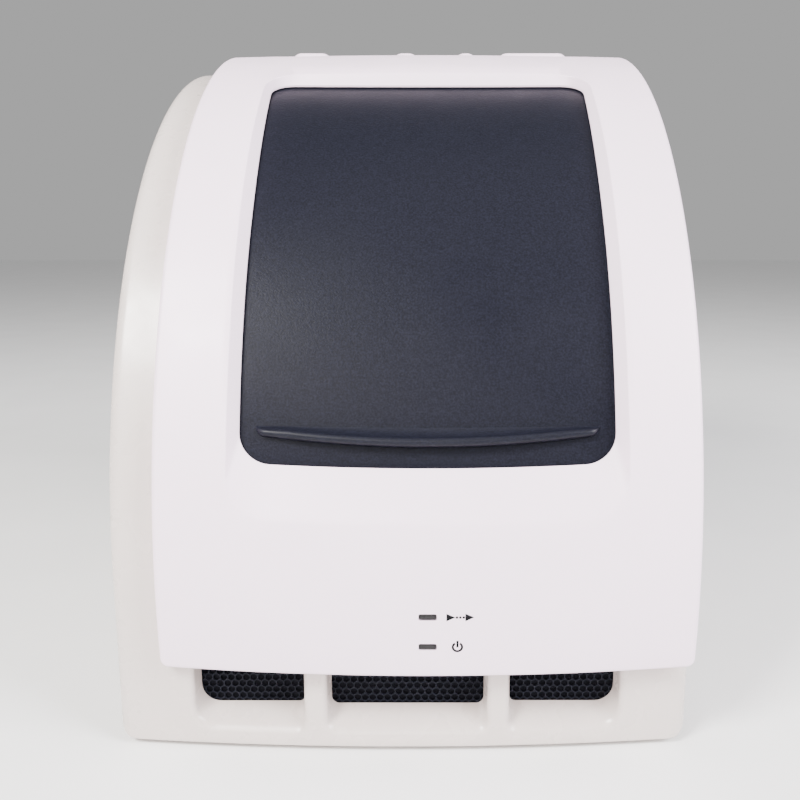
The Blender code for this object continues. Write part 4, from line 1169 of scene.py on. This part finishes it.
def carried_nodes(slots):
    """The frame's own meshes that stay in view get their finish."""
    for node, item in frame["nodes"].items():
        material = PAINTED_PANEL if node == "rear_panel" else MATERIALS[slots[node]]
        item.data.materials.clear()
        item.data.materials.append(material)


# Floor, light and camera (the lights and the camera are placed in metres)

WORLD_STRENGTH = 0.44
LIGHT_TARGET = (0.0, -0.1, 0.25)
LIGHTS = (
    # name, place, size, watts, colour
    ("key", (-1.0, -1.25, 1.5), (0.6, 0.6), 100.0, (1.0, 0.98, 0.95)),
    ("side", (1.7, -1.1, 1.3), (1.1, 1.1), 118.0, (0.98, 0.97, 1.0)),
    ("overhead", (0.1, -0.45, 2.2), (1.6, 1.2), 10.0, (0.99, 0.98, 1.0)),
    ("low", (-0.4, -1.55, 0.85), (1.0, 0.4), 16.0, (1.0, 0.95, 0.88)),
)
CAMERA_PLACE = (0.014, -0.6868, 0.2985)
CAMERA_DOWN = 10.9
CAMERA_LENS = 40.5
CAMERA_SENSOR = 36.0
CAMERA_SHIFT = -0.0334


def stage():
    builder = bmesh.new()
    add_box(builder, (-FLOOR_REACH, -FLOOR_REACH, -20), (FLOOR_REACH, FLOOR_REACH, 0))
    floor = solid("floor", builder)
    pale = new_material("floor_pale", 0.6, specular=0.3)
    nodes = Nodes(pale)
    nodes.finish(nodes.ramp(nodes.noise(120.0, 2.0), 0.86, 0.89))
    floor.data.materials.append(pale)


def area_light(name, place, size, power, colour):
    data = bpy.data.lights.new(name, "AREA")
    data.shape = "RECTANGLE"
    data.size, data.size_y = size
    data.energy = power
    data.color = colour
    lamp = bpy.data.objects.new(name, data)
    bpy.context.scene.collection.objects.link(lamp)
    lamp.location = place
    way = Vector(LIGHT_TARGET) - Vector(place)
    lamp.rotation_euler = way.to_track_quat("-Z", "Y").to_euler()


def lights():
    world = bpy.data.worlds.new("studio")
    bpy.context.scene.world = world
    world.use_nodes = True
    background = world.node_tree.nodes["Background"]
    background.inputs["Color"].default_value = (1.0, 1.0, 1.0, 1.0)
    background.inputs["Strength"].default_value = WORLD_STRENGTH
    for row in LIGHTS:
        area_light(*row)


def camera():
    data = bpy.data.cameras.new("camera")
    data.lens = CAMERA_LENS
    data.sensor_width = CAMERA_SENSOR
    data.shift_x = CAMERA_SHIFT
    item = bpy.data.objects.new("camera", data)
    bpy.context.scene.collection.objects.link(item)
    item.location = CAMERA_PLACE
    item.rotation_euler = (radians(90 - CAMERA_DOWN), 0.0, 0.0)
    bpy.context.scene.camera = item


def main():
    camera()
    stage()
    lights()
    slots = slots_by_node()
    carried_nodes(slots)
    shield_shell()
    shield_pads()
    housing_shell()
    vent_meshes()
    lenses()
    symbols()
    door_shell()
    door_grip()
    well_block()
    lid_plate()
    lid_grip()
    for node, width, body in REFINED:
        refined(node, slots[node], body, width)
    rear_screws()
    fan_guard()
    feet()
    rocker_marks()


main()
